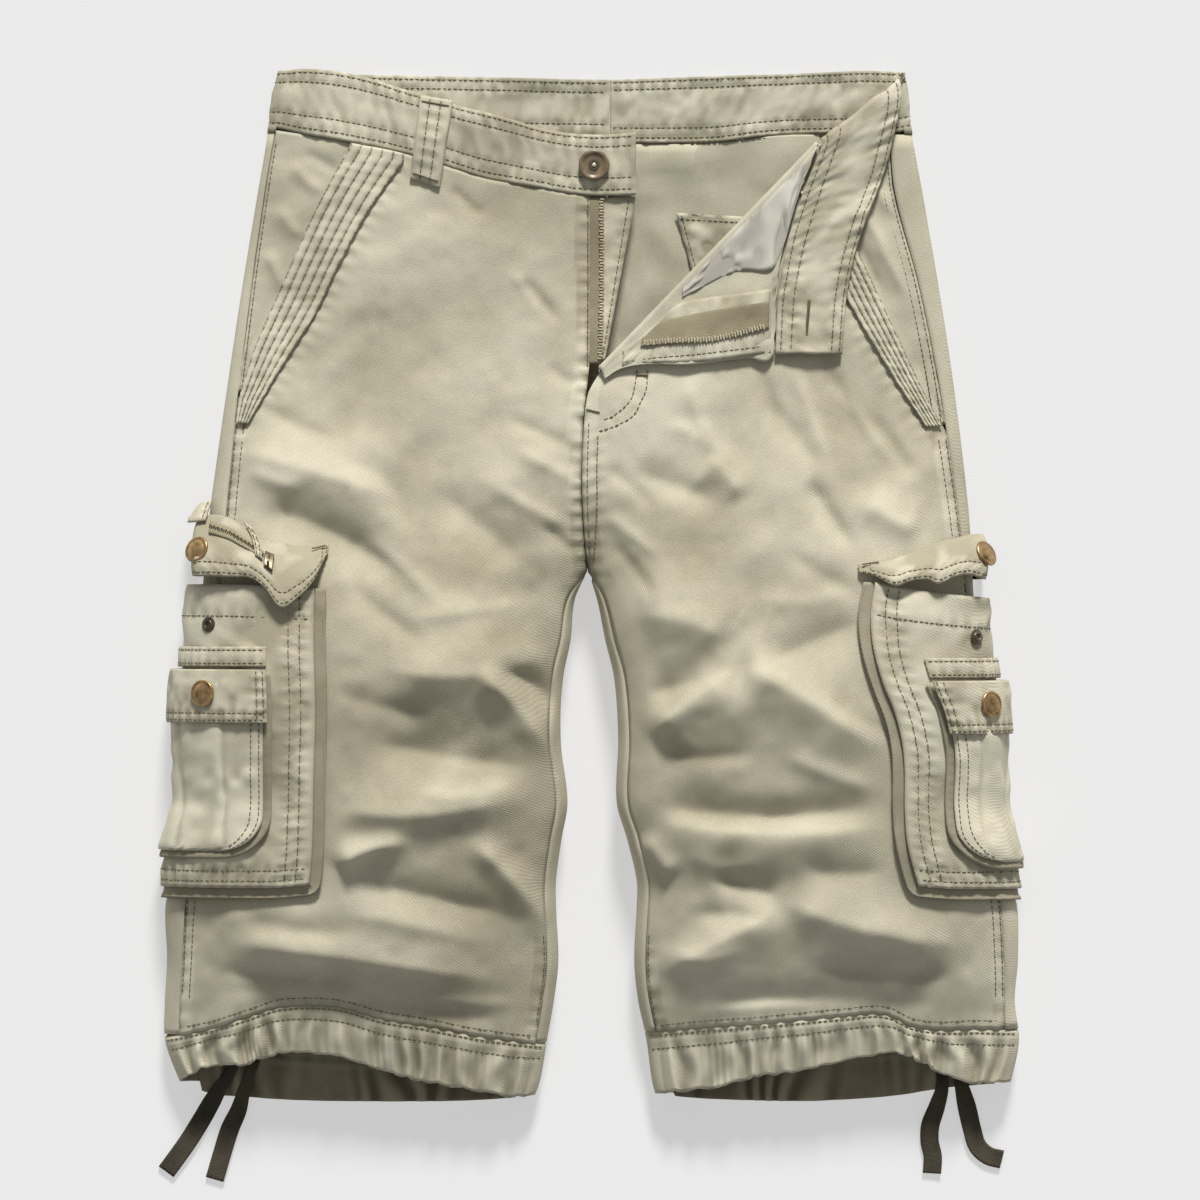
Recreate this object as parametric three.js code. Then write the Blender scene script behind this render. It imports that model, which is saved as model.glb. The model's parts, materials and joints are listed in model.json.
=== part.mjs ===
// Cargo shorts laid out face up, with one front corner turned back at the open fly.
// Millimetres. +X is the wearer's left, +Y the waist, +Z up from the surface they lie on.
// Every place on the cloth is given by x and by "down", the distance from the waist's top towards the hems.
import * as THREE from 'three';

// Driving sizes
const LENGTH = 670;
const CLOTH = 1.2;
const BAND = 2.4;
const BAG = 0.8;
const SEAM = 0.3;
const TURN_GAP = 3;
const POCKET_WIDTH = 165;
const POCKET_BOTTOM = 529;
const POCKET_LIFT = 3.6;
const GUSSET_SPREAD = 6.5;
const BUTTON_RADIUS = 10;
const CAP_RADIUS = 8.8;
const SOCKET_RADIUS = 5;
const TAPE_WIDTH = 12;
const TAPE_THICK = 1.8;

const RIGHT = -1;
const LEFT = 1;

// Colours and finishes
const finish = (color, roughness, metalness = 0) => ({ color, roughness, metalness });
const TWILL = finish(0xbab49a, 0.92);
const TWILL_INSIDE = finish(0xcbc5ae, 0.94);
const POCKETING = finish(0xc4beb0, 0.95);
const TAPE = finish(0x3a352a, 0.85);
const ZIP_TAPE = finish(0xa39c80, 0.9);
const BRASS = finish(0xc0a06a, 0.38, 0.9);
const HORN = finish(0x70685a, 0.45);

// Small helpers
const mix = (a, b, t) => a + (b - a) * t;
const clamp = (t, low = 0, high = 1) => Math.min(Math.max(t, low), high);
const ease = t => clamp(t) ** 2 * (3 - 2 * clamp(t));
const steps = (from, to, count) => Array.from({ length: count + 1 }, (_, i) => mix(from, to, i / count));
const yOf = down => LENGTH / 2 - down;

// A smooth curve through [place, value] pairs, level past its ends
function through(pairs) {
  const last = pairs.length - 1;
  const slope = pairs.map((pair, i) => {
    const before = pairs[Math.max(i - 1, 0)];
    const after = pairs[Math.min(i + 1, last)];
    return (after[1] - before[1]) / (after[0] - before[0]);
  });
  return place => {
    if (place <= pairs[0][0]) return pairs[0][1];
    if (place >= pairs[last][0]) return pairs[last][1];
    const i = pairs.findIndex(pair => pair[0] >= place) - 1;
    const span = pairs[i + 1][0] - pairs[i][0];
    const t = (place - pairs[i][0]) / span;
    const rise = pairs[i + 1][1] - pairs[i][1];
    const bend = (slope[i] * (1 - t) - slope[i + 1] * t) * span - rise * (1 - 2 * t);
    return pairs[i][1] + rise * t + bend * t * (1 - t);
  };
}
const column = (table, place, name) => through(table.map(row => [row[place], row[name]]));

// The flattened body: outer edges, inner edges (past the middle above the crotch, where the two legs join),
// the height of the widest point, the rise of the top over it, and how square the top is
const BODY = [
  { down: 0, outerRight: -204.5, innerRight: 203, innerLeft: -204.5, outerLeft: 203, edge: 4, rise: 6, square: 4 },
  { down: 20, outerRight: -208.5, innerRight: 205, innerLeft: -208, outerLeft: 205, edge: 4.2, rise: 7, square: 4 },
  { down: 40, outerRight: -210.5, innerRight: 207, innerLeft: -210, outerLeft: 207, edge: 4.5, rise: 7.5, square: 3.8 },
  { down: 85, outerRight: -218, innerRight: 205, innerLeft: -210, outerLeft: 215, edge: 6, rise: 9, square: 3.4 },
  { down: 150, outerRight: -228.5, innerRight: 182, innerLeft: -190, outerLeft: 226, edge: 8, rise: 13, square: 3 },
  { down: 215, outerRight: -238, innerRight: 118, innerLeft: -125, outerLeft: 235.5, edge: 10, rise: 20, square: 2.7 },
  { down: 280, outerRight: -247, innerRight: 31, innerLeft: -38, outerLeft: 243, edge: 13, rise: 29, square: 2.4 },
  { down: 306, outerRight: -249.5, innerRight: 7, innerLeft: -13.5, outerLeft: 245, edge: 14.5, rise: 32.5, square: 2.35 },
  { down: 326.5, outerRight: -251.5, innerRight: -3.5, innerLeft: -3, outerLeft: 246, edge: 15.5, rise: 35.5, square: 2.3 },
  { down: 345, outerRight: -253, innerRight: -11.5, innerLeft: 3, outerLeft: 247, edge: 16, rise: 37, square: 2.3 },
  { down: 370, outerRight: -255, innerRight: -14, innerLeft: 8, outerLeft: 249, edge: 17.5, rise: 39.5, square: 2.25 },
  { down: 396, outerRight: -257, innerRight: -19, innerLeft: 14, outerLeft: 252, edge: 18.5, rise: 41.5, square: 2.2 },
  { down: 435, outerRight: -260, innerRight: -20.5, innerLeft: 16.5, outerLeft: 256, edge: 19, rise: 42, square: 2.2 },
  { down: 475, outerRight: -262, innerRight: -16, innerLeft: 15.5, outerLeft: 260, edge: 19, rise: 42, square: 2.2 },
  { down: 500, outerRight: -268, innerRight: -20, innerLeft: 22.5, outerLeft: 265, edge: 18.5, rise: 41, square: 2.2 },
  { down: 526, outerRight: -272.5, innerRight: -23.5, innerLeft: 28.5, outerLeft: 270, edge: 17.5, rise: 39, square: 2.2 },
  { down: 543, outerRight: -276.5, innerRight: -23.5, innerLeft: 28.5, outerLeft: 275, edge: 17, rise: 37.5, square: 2.2 },
  { down: 578, outerRight: -275.5, innerRight: -22, innerLeft: 27, outerLeft: 275.5, edge: 15, rise: 32, square: 2.3 },
  { down: 604, outerRight: -277, innerRight: -25, innerLeft: 29.5, outerLeft: 273.5, edge: 13.3, rise: 27, square: 2.4 },
  { down: 630, outerRight: -277, innerRight: -29.5, innerLeft: 35, outerLeft: 276.5, edge: 11.5, rise: 21, square: 2.6 },
  { down: 656, outerRight: -268, innerRight: -34, innerLeft: 38.5, outerLeft: 271.5, edge: 9.7, rise: 16, square: 2.9 },
  { down: 670, outerRight: -262, innerRight: -39, innerLeft: 42, outerLeft: 268, edge: 9, rise: 14, square: 3 },
];
const LEGS = {
  [RIGHT]: { outer: column(BODY, 'down', 'outerRight'), inner: column(BODY, 'down', 'innerRight') },
  [LEFT]: { outer: column(BODY, 'down', 'outerLeft'), inner: column(BODY, 'down', 'innerLeft') },
};
const edgeHeight = column(BODY, 'down', 'edge');
const riseAt = column(BODY, 'down', 'rise');
const squareAt = column(BODY, 'down', 'square');
const CROTCH = 326.5;

// Seam lines of the fronts, as x by down
const SIDE_SEAM = {
  [RIGHT]: through([[39, -206], [76, -212], [125, -219], [157, -223], [194, -227.5], [225, -231], [280, -236],
    [345, -241], [410, -246], [475, -252], [536, -262], [580, -265], [614, -267], [640, -267]]),
  [LEFT]: through([[40, 193], [80, 196], [138, 211], [188, 221.5], [230, 228.5], [299, 238], [345, 242],
    [410, 248], [475, 253], [536, 263], [580, 266], [623, 267], [640, 267]]),
};
const SLANT = {
  [RIGHT]: through([[48, -155], [97, -180], [134, -196.5], [184, -219], [200, -224.5], [215, -229.5]]),
  [LEFT]: through([[49, 146.5], [108, 168], [150, 187], [200, 210], [222, 221], [236, 229]]),
};
const SLANT_END = { [RIGHT]: 215, [LEFT]: 236 };
const MIDDLE = {
  [RIGHT]: through([[80, -1.5], [180, -1.5], [196, -2], [209, -3.5], [234, -6], [273, -7], [309, -5], [326.5, -3.3]]),
  [LEFT]: through([[190, 6.5], [196.5, 5], [203, 1], [212, -3.4], [234, -6], [273, -7], [309, -5], [326.5, -3.3]]),
};
const CENTRE_BACK = through([[40, 11], [120, 8], [240, 2], [326.5, -3.3]]);
const INSEAM_INSET = through([[CROTCH, 0], [345, 5], [400, 7], [640, 7]]);

// Edges that run across, as down by x
const WAIST_SEAM = through([[-212, 38.5], [-184, 43], [-155, 48], [-122, 55], [-94, 63.5], [-68, 71.5], [-38, 76.5],
  [-18, 80.5], [2, 82.5], [30, 82]]);
const WAIST_TOP = through([[-205, -0.5], [-184, 0], [-163, 2], [-142, 7], [-122, 13.5], [-107, 17.5], [-88, 24],
  [-59, 31], [-38, 37.5], [-18, 41.5], [2, 43], [30, 41.5]]);
const BACK_TOP = through([[-205, 1], [-163, 3], [-60, 5], [9, 6.5], [70, 4.5], [135, 2.5], [187, 0.5], [204, 2]]);
const BACK_SEAM = through([[-212, 38.5], [-120, 44], [10, 47], [78, 47], [120, 42], [165, 41], [210, 39.5]]);
const CASING_TOP = {
  [RIGHT]: through([[-278, 628.5], [-246, 621.5], [-222, 613.5], [-200, 607], [-166, 607], [-135, 615], [-105, 620],
    [-75, 626], [-30, 632.5]]),
  [LEFT]: through([[35, 624.5], [66, 621], [107, 618], [135, 615.5], [163, 613], [182, 611.5], [193, 613.5],
    [206, 620], [225, 622.5], [247, 622], [278, 623.5]]),
};
const HEM_FRONT = {
  [RIGHT]: through([[-270, 657], [-246, 645], [-228, 645], [-200, 637], [-166, 639], [-137, 648], [-114, 654.5],
    [-85, 660], [-53, 666], [-36, 665]]),
  [LEFT]: through([[38, 664.5], [66, 661.5], [85, 658.5], [107, 652], [126, 650], [146, 646], [163, 642], [182, 638.5],
    [193, 636.5], [206, 639.5], [215, 644], [228, 651.5], [241, 656.5], [272, 656.5]]),
};
const HEM_BACK = {
  [RIGHT]: through([[-270, 657], [-246, 665.5], [-228, 667], [-200, 669], [-166, 670], [-95, 670], [-55, 668], [-36, 665]]),
  [LEFT]: through([[38, 664.5], [61, 667.5], [88, 669], [135, 670], [172, 668.5], [200, 666], [228, 661.5],
    [255, 659], [272, 656.5]]),
};
const HEM_WIDTH_BACK = 30;

// The crease of the turned corner runs from the foot of the fly up to the waist
const CREASE = { foot: [5, 196.5], waist: [146.5, 49.5] };
const creaseDown = x => mix(CREASE.foot[1], CREASE.waist[1], (x - CREASE.foot[0]) / (CREASE.waist[0] - CREASE.foot[0]));
const creaseRun = Math.hypot(CREASE.waist[0] - CREASE.foot[0], CREASE.waist[1] - CREASE.foot[1]);
const CREASE_OUT = [
  (CREASE.waist[1] - CREASE.foot[1]) / creaseRun,
  -(CREASE.waist[0] - CREASE.foot[0]) / creaseRun,
];
const STRIP_SEAM_EDGE = through([[48.2, 149], [97.5, 130.5], [143, 120.5], [186, 118]]);
const STRIP_TOP_EDGE = through([[10, 202], [40, 196], [71.5, 187.5], [114, 171.5], [149.5, 164], [186.5, 161]]);

// Largest folds of the legs: a bent line by three places, its reach to each side and its rise (a trough is negative).
// "above" is the side on the left of the line's run.
const FOLDS = [
  { x1: -232, down1: 247, x2: -180, down2: 262, x3: -118, down3: 280, above: 24, below: 20, rise: 7 },
  { x1: -216, down1: 283, x2: -165, down2: 303, x3: -108, down3: 338, above: 14, below: 20, rise: -7 },
  { x1: -170, down1: 254, x2: -132, down2: 268, x3: -118, down3: 312, above: 12, below: 9, rise: -3 },
  { x1: -106, down1: 272, x2: -70, down2: 298, x3: -38, down3: 330, above: 17, below: 15, rise: -4 },
  { x1: -140, down1: 385, x2: -82, down2: 393, x3: -22, down3: 377, above: 38, below: 17, rise: 9 },
  { x1: -76, down1: 392, x2: -50, down2: 412, x3: -20, down3: 455, above: 10, below: 12, rise: 7 },
  { x1: -72, down1: 388, x2: -38, down2: 398, x3: -20, down3: 425, above: 9, below: 9, rise: -6 },
  { x1: -150, down1: 434, x2: -95, down2: 444, x3: -34, down3: 454, above: 20, below: 14, rise: -6 },
  { x1: -168, down1: 476, x2: -106, down2: 482, x3: -34, down3: 466, above: 18, below: 12, rise: 6 },
  { x1: -165, down1: 517, x2: -145, down2: 505, x3: -112, down3: 500, above: 8, below: 9, rise: 6 },
  { x1: -82, down1: 497, x2: -52, down2: 524, x3: -26, down3: 560, above: 9, below: 10, rise: 6 },
  { x1: -158, down1: 521, x2: -110, down2: 534, x3: -40, down3: 550, above: 10, below: 12, rise: -4 },
  { x1: -244, down1: 563, x2: -160, down2: 574, x3: -42, down3: 592, above: 24, below: 14, rise: 7 },
  { x1: -240, down1: 594, x2: -160, down2: 604, x3: -46, down3: 616, above: 12, below: 10, rise: -3 },
  { x1: 20, down1: 262, x2: 52, down2: 270, x3: 84, down3: 284, above: 11, below: 11, rise: -4 },
  { x1: 72, down1: 252, x2: 86, down2: 264, x3: 98, down3: 282, above: 9, below: 12, rise: 4 },
  { x1: 138, down1: 266, x2: 152, down2: 288, x3: 170, down3: 318, above: 6, below: 7, rise: -3.5 },
  { x1: 168, down1: 276, x2: 192, down2: 292, x3: 214, down3: 300, above: 14, below: 10, rise: 4 },
  { x1: 26, down1: 356, x2: 60, down2: 358, x3: 92, down3: 376, above: 26, below: 16, rise: 6 },
  { x1: 34, down1: 404, x2: 62, down2: 398, x3: 92, down3: 384, above: 12, below: 12, rise: -5 },
  { x1: 34, down1: 434, x2: 62, down2: 410, x3: 96, down3: 387, above: 11, below: 26, rise: 9 },
  { x1: 94, down1: 388, x2: 132, down2: 406, x3: 194, down3: 448, above: 14, below: 28, rise: 9 },
  { x1: 104, down1: 388, x2: 140, down2: 372, x3: 180, down3: 356, above: 12, below: 12, rise: -4 },
  { x1: 34, down1: 474, x2: 110, down2: 484, x3: 194, down3: 474, above: 12, below: 12, rise: -6 },
  { x1: 34, down1: 486, x2: 110, down2: 494, x3: 194, down3: 489, above: 9, below: 20, rise: 6 },
  { x1: 30, down1: 496, x2: 42, down2: 510, x3: 52, down3: 525, above: 8, below: 8, rise: 4 },
  { x1: 74, down1: 526, x2: 100, down2: 528, x3: 122, down3: 536, above: 12, below: 10, rise: -4 },
  { x1: 36, down1: 588, x2: 84, down2: 564, x3: 124, down3: 540, above: 12, below: 22, rise: 6 },
  { x1: 118, down1: 534, x2: 172, down2: 556, x3: 252, down3: 568, above: 18, below: 18, rise: 7 },
  { x1: 50, down1: 600, x2: 150, down2: 602, x3: 232, down3: 606, above: 14, below: 10, rise: -3 },
];
const FOLD_STEPS = 8;
const FOLD_TAPER = 0.3;

// Each fold's bent line as short straight runs
const foldLines = FOLDS.map(fold => {
  const bent = (a, b, c, t) => a * (1 - t) * (1 - 2 * t) + b * 4 * t * (1 - t) + c * t * (2 * t - 1);
  const spots = steps(0, 1, FOLD_STEPS).map(t => [
    bent(fold.x1, fold.x2, fold.x3, t),
    bent(fold.down1, fold.down2, fold.down3, t),
  ]);
  return { fold, spots };
});

// How far one fold lifts a place
function foldRise({ fold, spots }, x, down) {
  let nearest = { gap: Infinity };
  for (let i = 0; i < FOLD_STEPS; i += 1) {
    const [x0, down0] = spots[i];
    const runX = spots[i + 1][0] - x0;
    const runDown = spots[i + 1][1] - down0;
    const t = clamp(((x - x0) * runX + (down - down0) * runDown) / (runX ** 2 + runDown ** 2));
    const gapX = x - x0 - runX * t;
    const gapDown = down - down0 - runDown * t;
    const gap = Math.hypot(gapX, gapDown);
    if (gap < nearest.gap) nearest = { gap, above: gapX * runDown - gapDown * runX > 0, at: (i + t) / FOLD_STEPS };
  }
  const reach = nearest.above ? fold.above : fold.below;
  const taper = ease(nearest.at / FOLD_TAPER) * ease((1 - nearest.at) / FOLD_TAPER);
  return fold.rise * taper * Math.exp(-((nearest.gap / reach) ** 2));
}

// The dome of one leg over its widest points, from 0 at its edges to 1
function dome(side, x, down) {
  const leg = LEGS[side];
  const across = (x - leg.inner(down)) / (leg.outer(down) - leg.inner(down));
  const reach = clamp(Math.abs(2 * across - 1));
  return (1 - reach ** squareAt(down)) ** (1 / squareAt(down));
}

// The height of the fronts' outer face
const JOIN_SOFTNESS = 1.5;
function height(x, down) {
  const right = dome(RIGHT, x, down);
  const left = dome(LEFT, x, down);
  const both = (right + left + Math.hypot(right - left, JOIN_SOFTNESS / riseAt(down))) / 2;
  const top = down < CROTCH ? mix(both, Math.max(right, left), ease((down - 290) / 36)) : Math.max(right, left);
  const lift = foldLines.reduce((sum, line) => sum + foldRise(line, x, down), 0);
  return edgeHeight(down) + riseAt(down) * top + lift * ease(top * 1.3);
}

// Under the cargo pockets the leg is lifted off the surface by the pocket's own cloth
function floorHeight(side, x, down) {
  const depth = Math.abs(LEGS[side].outer(down)) - Math.abs(x);
  const across = ease((165 - depth) / 30);
  const along = ease((down - 262) / 18) * ease((580 - down) / 18);
  return POCKET_LIFT * across * along;
}

// A leg's section outside its widest point: a positive "along" goes over the top, a negative one under
const EDGE_REACH = 1.3;
const SECTION_STEPS = 40;
const sections = new Map();
function section(side, down) {
  const key = `${side} ${down.toFixed(3)}`;
  if (sections.has(key)) return sections.get(key);
  const outer = LEGS[side].outer(down);
  const middle = (outer + LEGS[side].inner(down)) / 2;
  const edge = edgeHeight(down);
  const over = steps(0, Math.PI / 2, SECTION_STEPS).map(angle => {
    const x = middle + (outer - middle) * Math.cos(angle) ** (2 / squareAt(down));
    return [x, height(x, down)];
  });
  over[0] = [outer, edge];
  const floorAt = floorHeight(side, outer, down);
  const under = steps(0, Math.PI / 2, SECTION_STEPS / 4).map(angle => [
    outer - side * edge * EDGE_REACH * (1 - Math.cos(angle)),
    edge - (edge - floorAt) * Math.sin(angle),
  ]);
  const lengths = path => {
    const sum = [0];
    for (let i = 1; i < path.length; i += 1) {
      sum.push(sum[i - 1] + Math.hypot(path[i][0] - path[i - 1][0], path[i][1] - path[i - 1][1]));
    }
    return sum;
  };
  const made = { over, under, overSum: lengths(over), underSum: lengths(under) };
  sections.set(key, made);
  return made;
}
function onPath(path, sum, distance) {
  const i = clamp(sum.findIndex(length => length >= distance) - 1, 0, path.length - 2);
  const t = (distance - sum[i]) / (sum[i + 1] - sum[i]);
  return [mix(path[i][0], path[i + 1][0], t), mix(path[i][1], path[i + 1][1], t)];
}
function onSection(side, down, along) {
  const { over, under, overSum, underSum } = section(side, down);
  if (along >= 0) return onPath(over, overSum, Math.min(along, overSum[SECTION_STEPS]));
  const round = underSum[underSum.length - 1];
  if (-along <= round) return onPath(under, underSum, -along);
  const x = under[under.length - 1][0] - side * (-along - round);
  return [x, floorHeight(side, x, down)];
}

// A place on or off a leg's side: "out" is the distance from the leg's outer face
const PROBE = 1.5;
function around(side, down, along, out = 0) {
  const [x, z] = onSection(side, down, along);
  const [x1, z1] = onSection(side, down, along - PROBE);
  const [x2, z2] = onSection(side, down, along + PROBE);
  const run = Math.hypot(x2 - x1, z2 - z1);
  const normalX = side * (z2 - z1) / run;
  const normalZ = -side * (x2 - x1) / run;
  return new THREE.Vector3(x + normalX * out, yOf(down), Math.max(z + normalZ * out, 0));
}

// The "along" that shows at a given x when seen from above
function alongAt(side, down, x, out = 0) {
  let near = -4;
  let far = 150;
  for (let i = 0; i < 30; i += 1) {
    const middle = (near + far) / 2;
    const isOutside = side * (around(side, down, middle, out).x - x) > 0;
    if (isOutside) near = middle;
    else far = middle;
  }
  return (near + far) / 2;
}

// A place on the fronts' outer face, or above it
const onTop = (x, down, out = 0) => new THREE.Vector3(x, yOf(down), height(x, down) + out);

// The way the fronts' outer face looks at a place, so that the walls on both sides of a seam stand alike
function topNormal(point) {
  const down = LENGTH / 2 - point.y;
  const slopeX = (height(point.x + PROBE, down) - height(point.x - PROBE, down)) / (2 * PROBE);
  const slopeDown = (height(point.x, down + PROBE) - height(point.x, down - PROBE)) / (2 * PROBE);
  return new THREE.Vector3(-slopeX, slopeDown, 1).normalize();
}

// A closed wall of cloth from the rows of points of its outer face. "upAt" is a cell whose outer face looks up,
// and "onSeam" tells the points whose wall stands square to the fronts.
const garment = new THREE.Group();
function wall(name, look, outer, options = {}) {
  const { thick = CLOTH, upAt = [0, 0], ring = false, relief = null, downward = false, onSeam = () => false } = options;
  const rows = outer.length;
  const columns = outer[0].length;
  const beside = (row, j) => (ring ? outer[row][(j + columns) % columns] : outer[row][clamp(j, 0, columns - 1)]);
  const normals = outer.map((line, i) => line.map((point, j) => {
    const across = beside(i, j + 1).clone().sub(beside(i, j - 1));
    const along = outer[Math.min(i + 1, rows - 1)][j].clone().sub(outer[Math.max(i - 1, 0)][j]);
    return across.cross(along).normalize();
  }));
  const sign = Math.sign(normals[upAt[0]][upAt[1]].z) * (downward ? -1 : 1);
  const inner = outer.map((line, i) => line.map((point, j) => (onSeam(i, j)
    ? point.clone().addScaledVector(topNormal(point), -thick)
    : point.clone().addScaledVector(normals[i][j], -sign * thick))));
  const face = relief
    ? outer.map((line, i) => line.map((point, j) => point.clone().addScaledVector(normals[i][j], sign * relief(i, j))))
    : outer;
  const positions = [...face.flat(), ...inner.flat()].flatMap(point => [point.x, point.y, point.z]);
  const count = rows * columns;
  const triangles = [];
  const quad = (a, b, c, d) => triangles.push(a, b, c, a, c, d);
  const lastColumn = ring ? columns : columns - 1;
  const index = (i, j) => i * columns + (j % columns);
  for (let i = 0; i < rows - 1; i += 1) {
    for (let j = 0; j < lastColumn; j += 1) {
      const corners = [index(i, j), index(i, j + 1), index(i + 1, j + 1), index(i + 1, j)];
      const [first, second, third, fourth] = corners.map(corner => corner + count);
      quad(...corners);
      quad(first, fourth, third, second);
    }
  }
  for (let j = 0; j < lastColumn; j += 1) {
    const [a, b] = [index(0, j), index(0, j + 1)];
    quad(b, a, a + count, b + count);
    const [c, d] = [index(rows - 1, j), index(rows - 1, j + 1)];
    quad(c, d, d + count, c + count);
  }
  for (let i = 0; i < rows - 1 && !ring; i += 1) {
    const [a, b] = [index(i, 0), index(i + 1, 0)];
    quad(a, b, b + count, a + count);
    const [c, d] = [index(i, columns - 1), index(i + 1, columns - 1)];
    quad(d, c, c + count, d + count);
  }
  addMesh(name, look, positions, triangles);
}

// Adds a named mesh, turned so that its faces point out
function addMesh(name, look, positions, triangles) {
  const corner = i => new THREE.Vector3().fromArray(positions, triangles[i] * 3);
  let volume = 0;
  for (let i = 0; i < triangles.length; i += 3) {
    volume += corner(i).dot(corner(i + 1).cross(corner(i + 2)));
  }
  const geometry = new THREE.BufferGeometry();
  geometry.setAttribute('position', new THREE.Float32BufferAttribute(positions, 3));
  geometry.setIndex(volume > 0 ? triangles : [...triangles].reverse());
  geometry.computeVertexNormals();
  const mesh = new THREE.Mesh(geometry, new THREE.MeshStandardMaterial(look));
  mesh.name = name;
  garment.add(mesh);
}

// Fronts. Rows run from the waist or the crease to the hem's casing, by their share of the way.
const ROWS = {
  [RIGHT]: [0, 0.04, 0.08, 0.12, 0.165, 0.21, 0.255, 0.3, 0.34, 0.375, 0.41, 0.4435, 0.475, 0.51, 0.545, 0.58,
    0.615, 0.65, 0.685, 0.72, 0.755, 0.79, 0.825, 0.86, 0.895, 0.93, 0.965, 1],
  [LEFT]: [0, 0.03, 0.0617, 0.1196, 0.171, 0.2159, 0.2607, 0.3037, 0.34, 0.38, 0.42, 0.46, 0.5, 0.54, 0.58,
    0.62, 0.66, 0.7, 0.74, 0.78, 0.82, 0.86, 0.9, 0.935, 0.97, 1],
};
const COLUMNS = [0, 0.045, 0.12, 0.205, 0.295, 0.385, 0.475, 0.565, 0.655, 0.745, 0.835, 0.92, 1];
const FRONT_TOP = { [RIGHT]: x => WAIST_SEAM(x) + SEAM, [LEFT]: creaseDown };
const CASING_GAP = 0.45;

const outerSeam = (side, down) => (down < SLANT_END[side] ? SLANT[side](down) : SIDE_SEAM[side](down));
const innerSeam = (side, down) => (down < CROTCH
  ? MIDDLE[side](down) + side * SEAM
  : LEGS[side].inner(down) + side * INSEAM_INSET(down));

// The two ends of a front's row, found by walking to where the row meets each seam
function rowEnds(side, share) {
  const top = FRONT_TOP[side];
  const settle = (start, seamAt) => {
    let x = start;
    for (let i = 0; i < 20; i += 1) {
      x = seamAt(mix(top(x), CASING_TOP[side](x), share));
    }
    return x;
  };
  const outer = settle(side * 220, down => outerSeam(side, down) - side * SEAM);
  const inner = settle(side * 5, down => innerSeam(side, down));
  const downAt = x => mix(top(x), CASING_TOP[side](x) - CASING_GAP, share);
  return { outer, inner, outerDown: downAt(outer), innerDown: downAt(inner), downAt };
}
function frontRows(side) {
  return ROWS[side].map(share => {
    const { outer, inner, downAt } = rowEnds(side, share);
    return COLUMNS.map(column => {
      const x = mix(outer, inner, column);
      return onTop(x, downAt(x));
    });
  });
}

// The turned corner of the left front: its free edge by the share of the crease, from the waist to the fly's foot
const TURNED_EDGE = [
  { share: 0, x: 143.5, down: 56 },
  { share: 0.045, x: 137.5, down: 71 },
  { share: 0.12, x: 127.5, down: 101 },
  { share: 0.205, x: 119.5, down: 138 },
  { share: 0.28, x: 116.5, down: 186 },
  { share: 0.385, x: 100, down: 188.5 },
  { share: 0.475, x: 86, down: 190 },
  { share: 0.565, x: 72, down: 192 },
  { share: 0.655, x: 58, down: 193 },
  { share: 0.745, x: 44, down: 192.5 },
  { share: 0.835, x: 30, down: 193 },
  { share: 0.92, x: 17.5, down: 196 },
  { share: 1, x: 8, down: 202 },
];
const turnedX = column(TURNED_EDGE, 'share', 'x');
const turnedDown = column(TURNED_EDGE, 'share', 'down');
const TURN_ANGLES = [135, 90, 45].map(THREE.MathUtils.degToRad);
const TURNED_SHARES = [1, 0.75, 0.5, 0.25, 0];

const creaseSpot = (share, ends) => {
  const x = mix(ends.outer, ends.inner, share);
  return [x, creaseDown(x)];
};
// A place rolled over the crease: angle 0 is the front below it, 180 degrees the turned corner above
function rolled(x, down, angle, base = 0) {
  const reach = TURN_GAP / 2 * Math.sin(angle);
  const lift = base + TURN_GAP / 2 * (1 - Math.cos(angle));
  const spot = onTop(x, down, lift);
  return spot.add(new THREE.Vector3(CREASE_OUT[0] * reach, -CREASE_OUT[1] * reach, 0));
}
function turnedRows() {
  const ends = rowEnds(LEFT, 0);
  const flat = TURNED_SHARES.map(away => COLUMNS.map(share => {
    const [x, down] = creaseSpot(share, ends);
    return onTop(mix(x, turnedX(share), away), mix(down, turnedDown(share), away), TURN_GAP);
  }));
  const roll = TURN_ANGLES.map(angle => COLUMNS.map(share => rolled(...creaseSpot(share, ends), angle)));
  return [...flat, ...roll];
}

const LAST_COLUMN = COLUMNS.length - 1;
const onEdge = j => j === 0 || j === LAST_COLUMN;
const TURNED_ROWS = TURNED_SHARES.length + TURN_ANGLES.length;
wall('front_right', TWILL, frontRows(RIGHT), {
  upAt: [4, 5],
  onSeam: (i, j) => onEdge(j) || i === ROWS[RIGHT].length - 1,
});
wall('front_left', TWILL, [...turnedRows(), ...frontRows(LEFT)], {
  upAt: [14, 5],
  onSeam: (i, j) => i >= TURNED_ROWS && (onEdge(j) || i === TURNED_ROWS + ROWS[LEFT].length - 1),
});

// Backs: from the side seam round the side, over the surface and up to the inseam, or to the centre back seam
const BACK_SHARES = { outer: steps(0, 1, 5), flat: steps(0, 1, 4).slice(1, -1), inner: steps(0, 1, 5) };
const INNER_ARC_STEPS = 10;

function backOuter(side, down) {
  const seamAlong = alongAt(side, down, SIDE_SEAM[side](down));
  const { underSum } = section(side, down);
  const round = underSum[underSum.length - 1];
  return BACK_SHARES.outer.map(share => around(side, down, mix(seamAlong, -round, share)));
}

// The back of the casing hangs lower in the middle of the leg
const BACK_SAG = 9;
const backSag = part => BACK_SAG * Math.sin(Math.PI * part);
const BACK_CORNER = { [RIGHT]: 39.2, [LEFT]: 42.8 };

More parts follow.
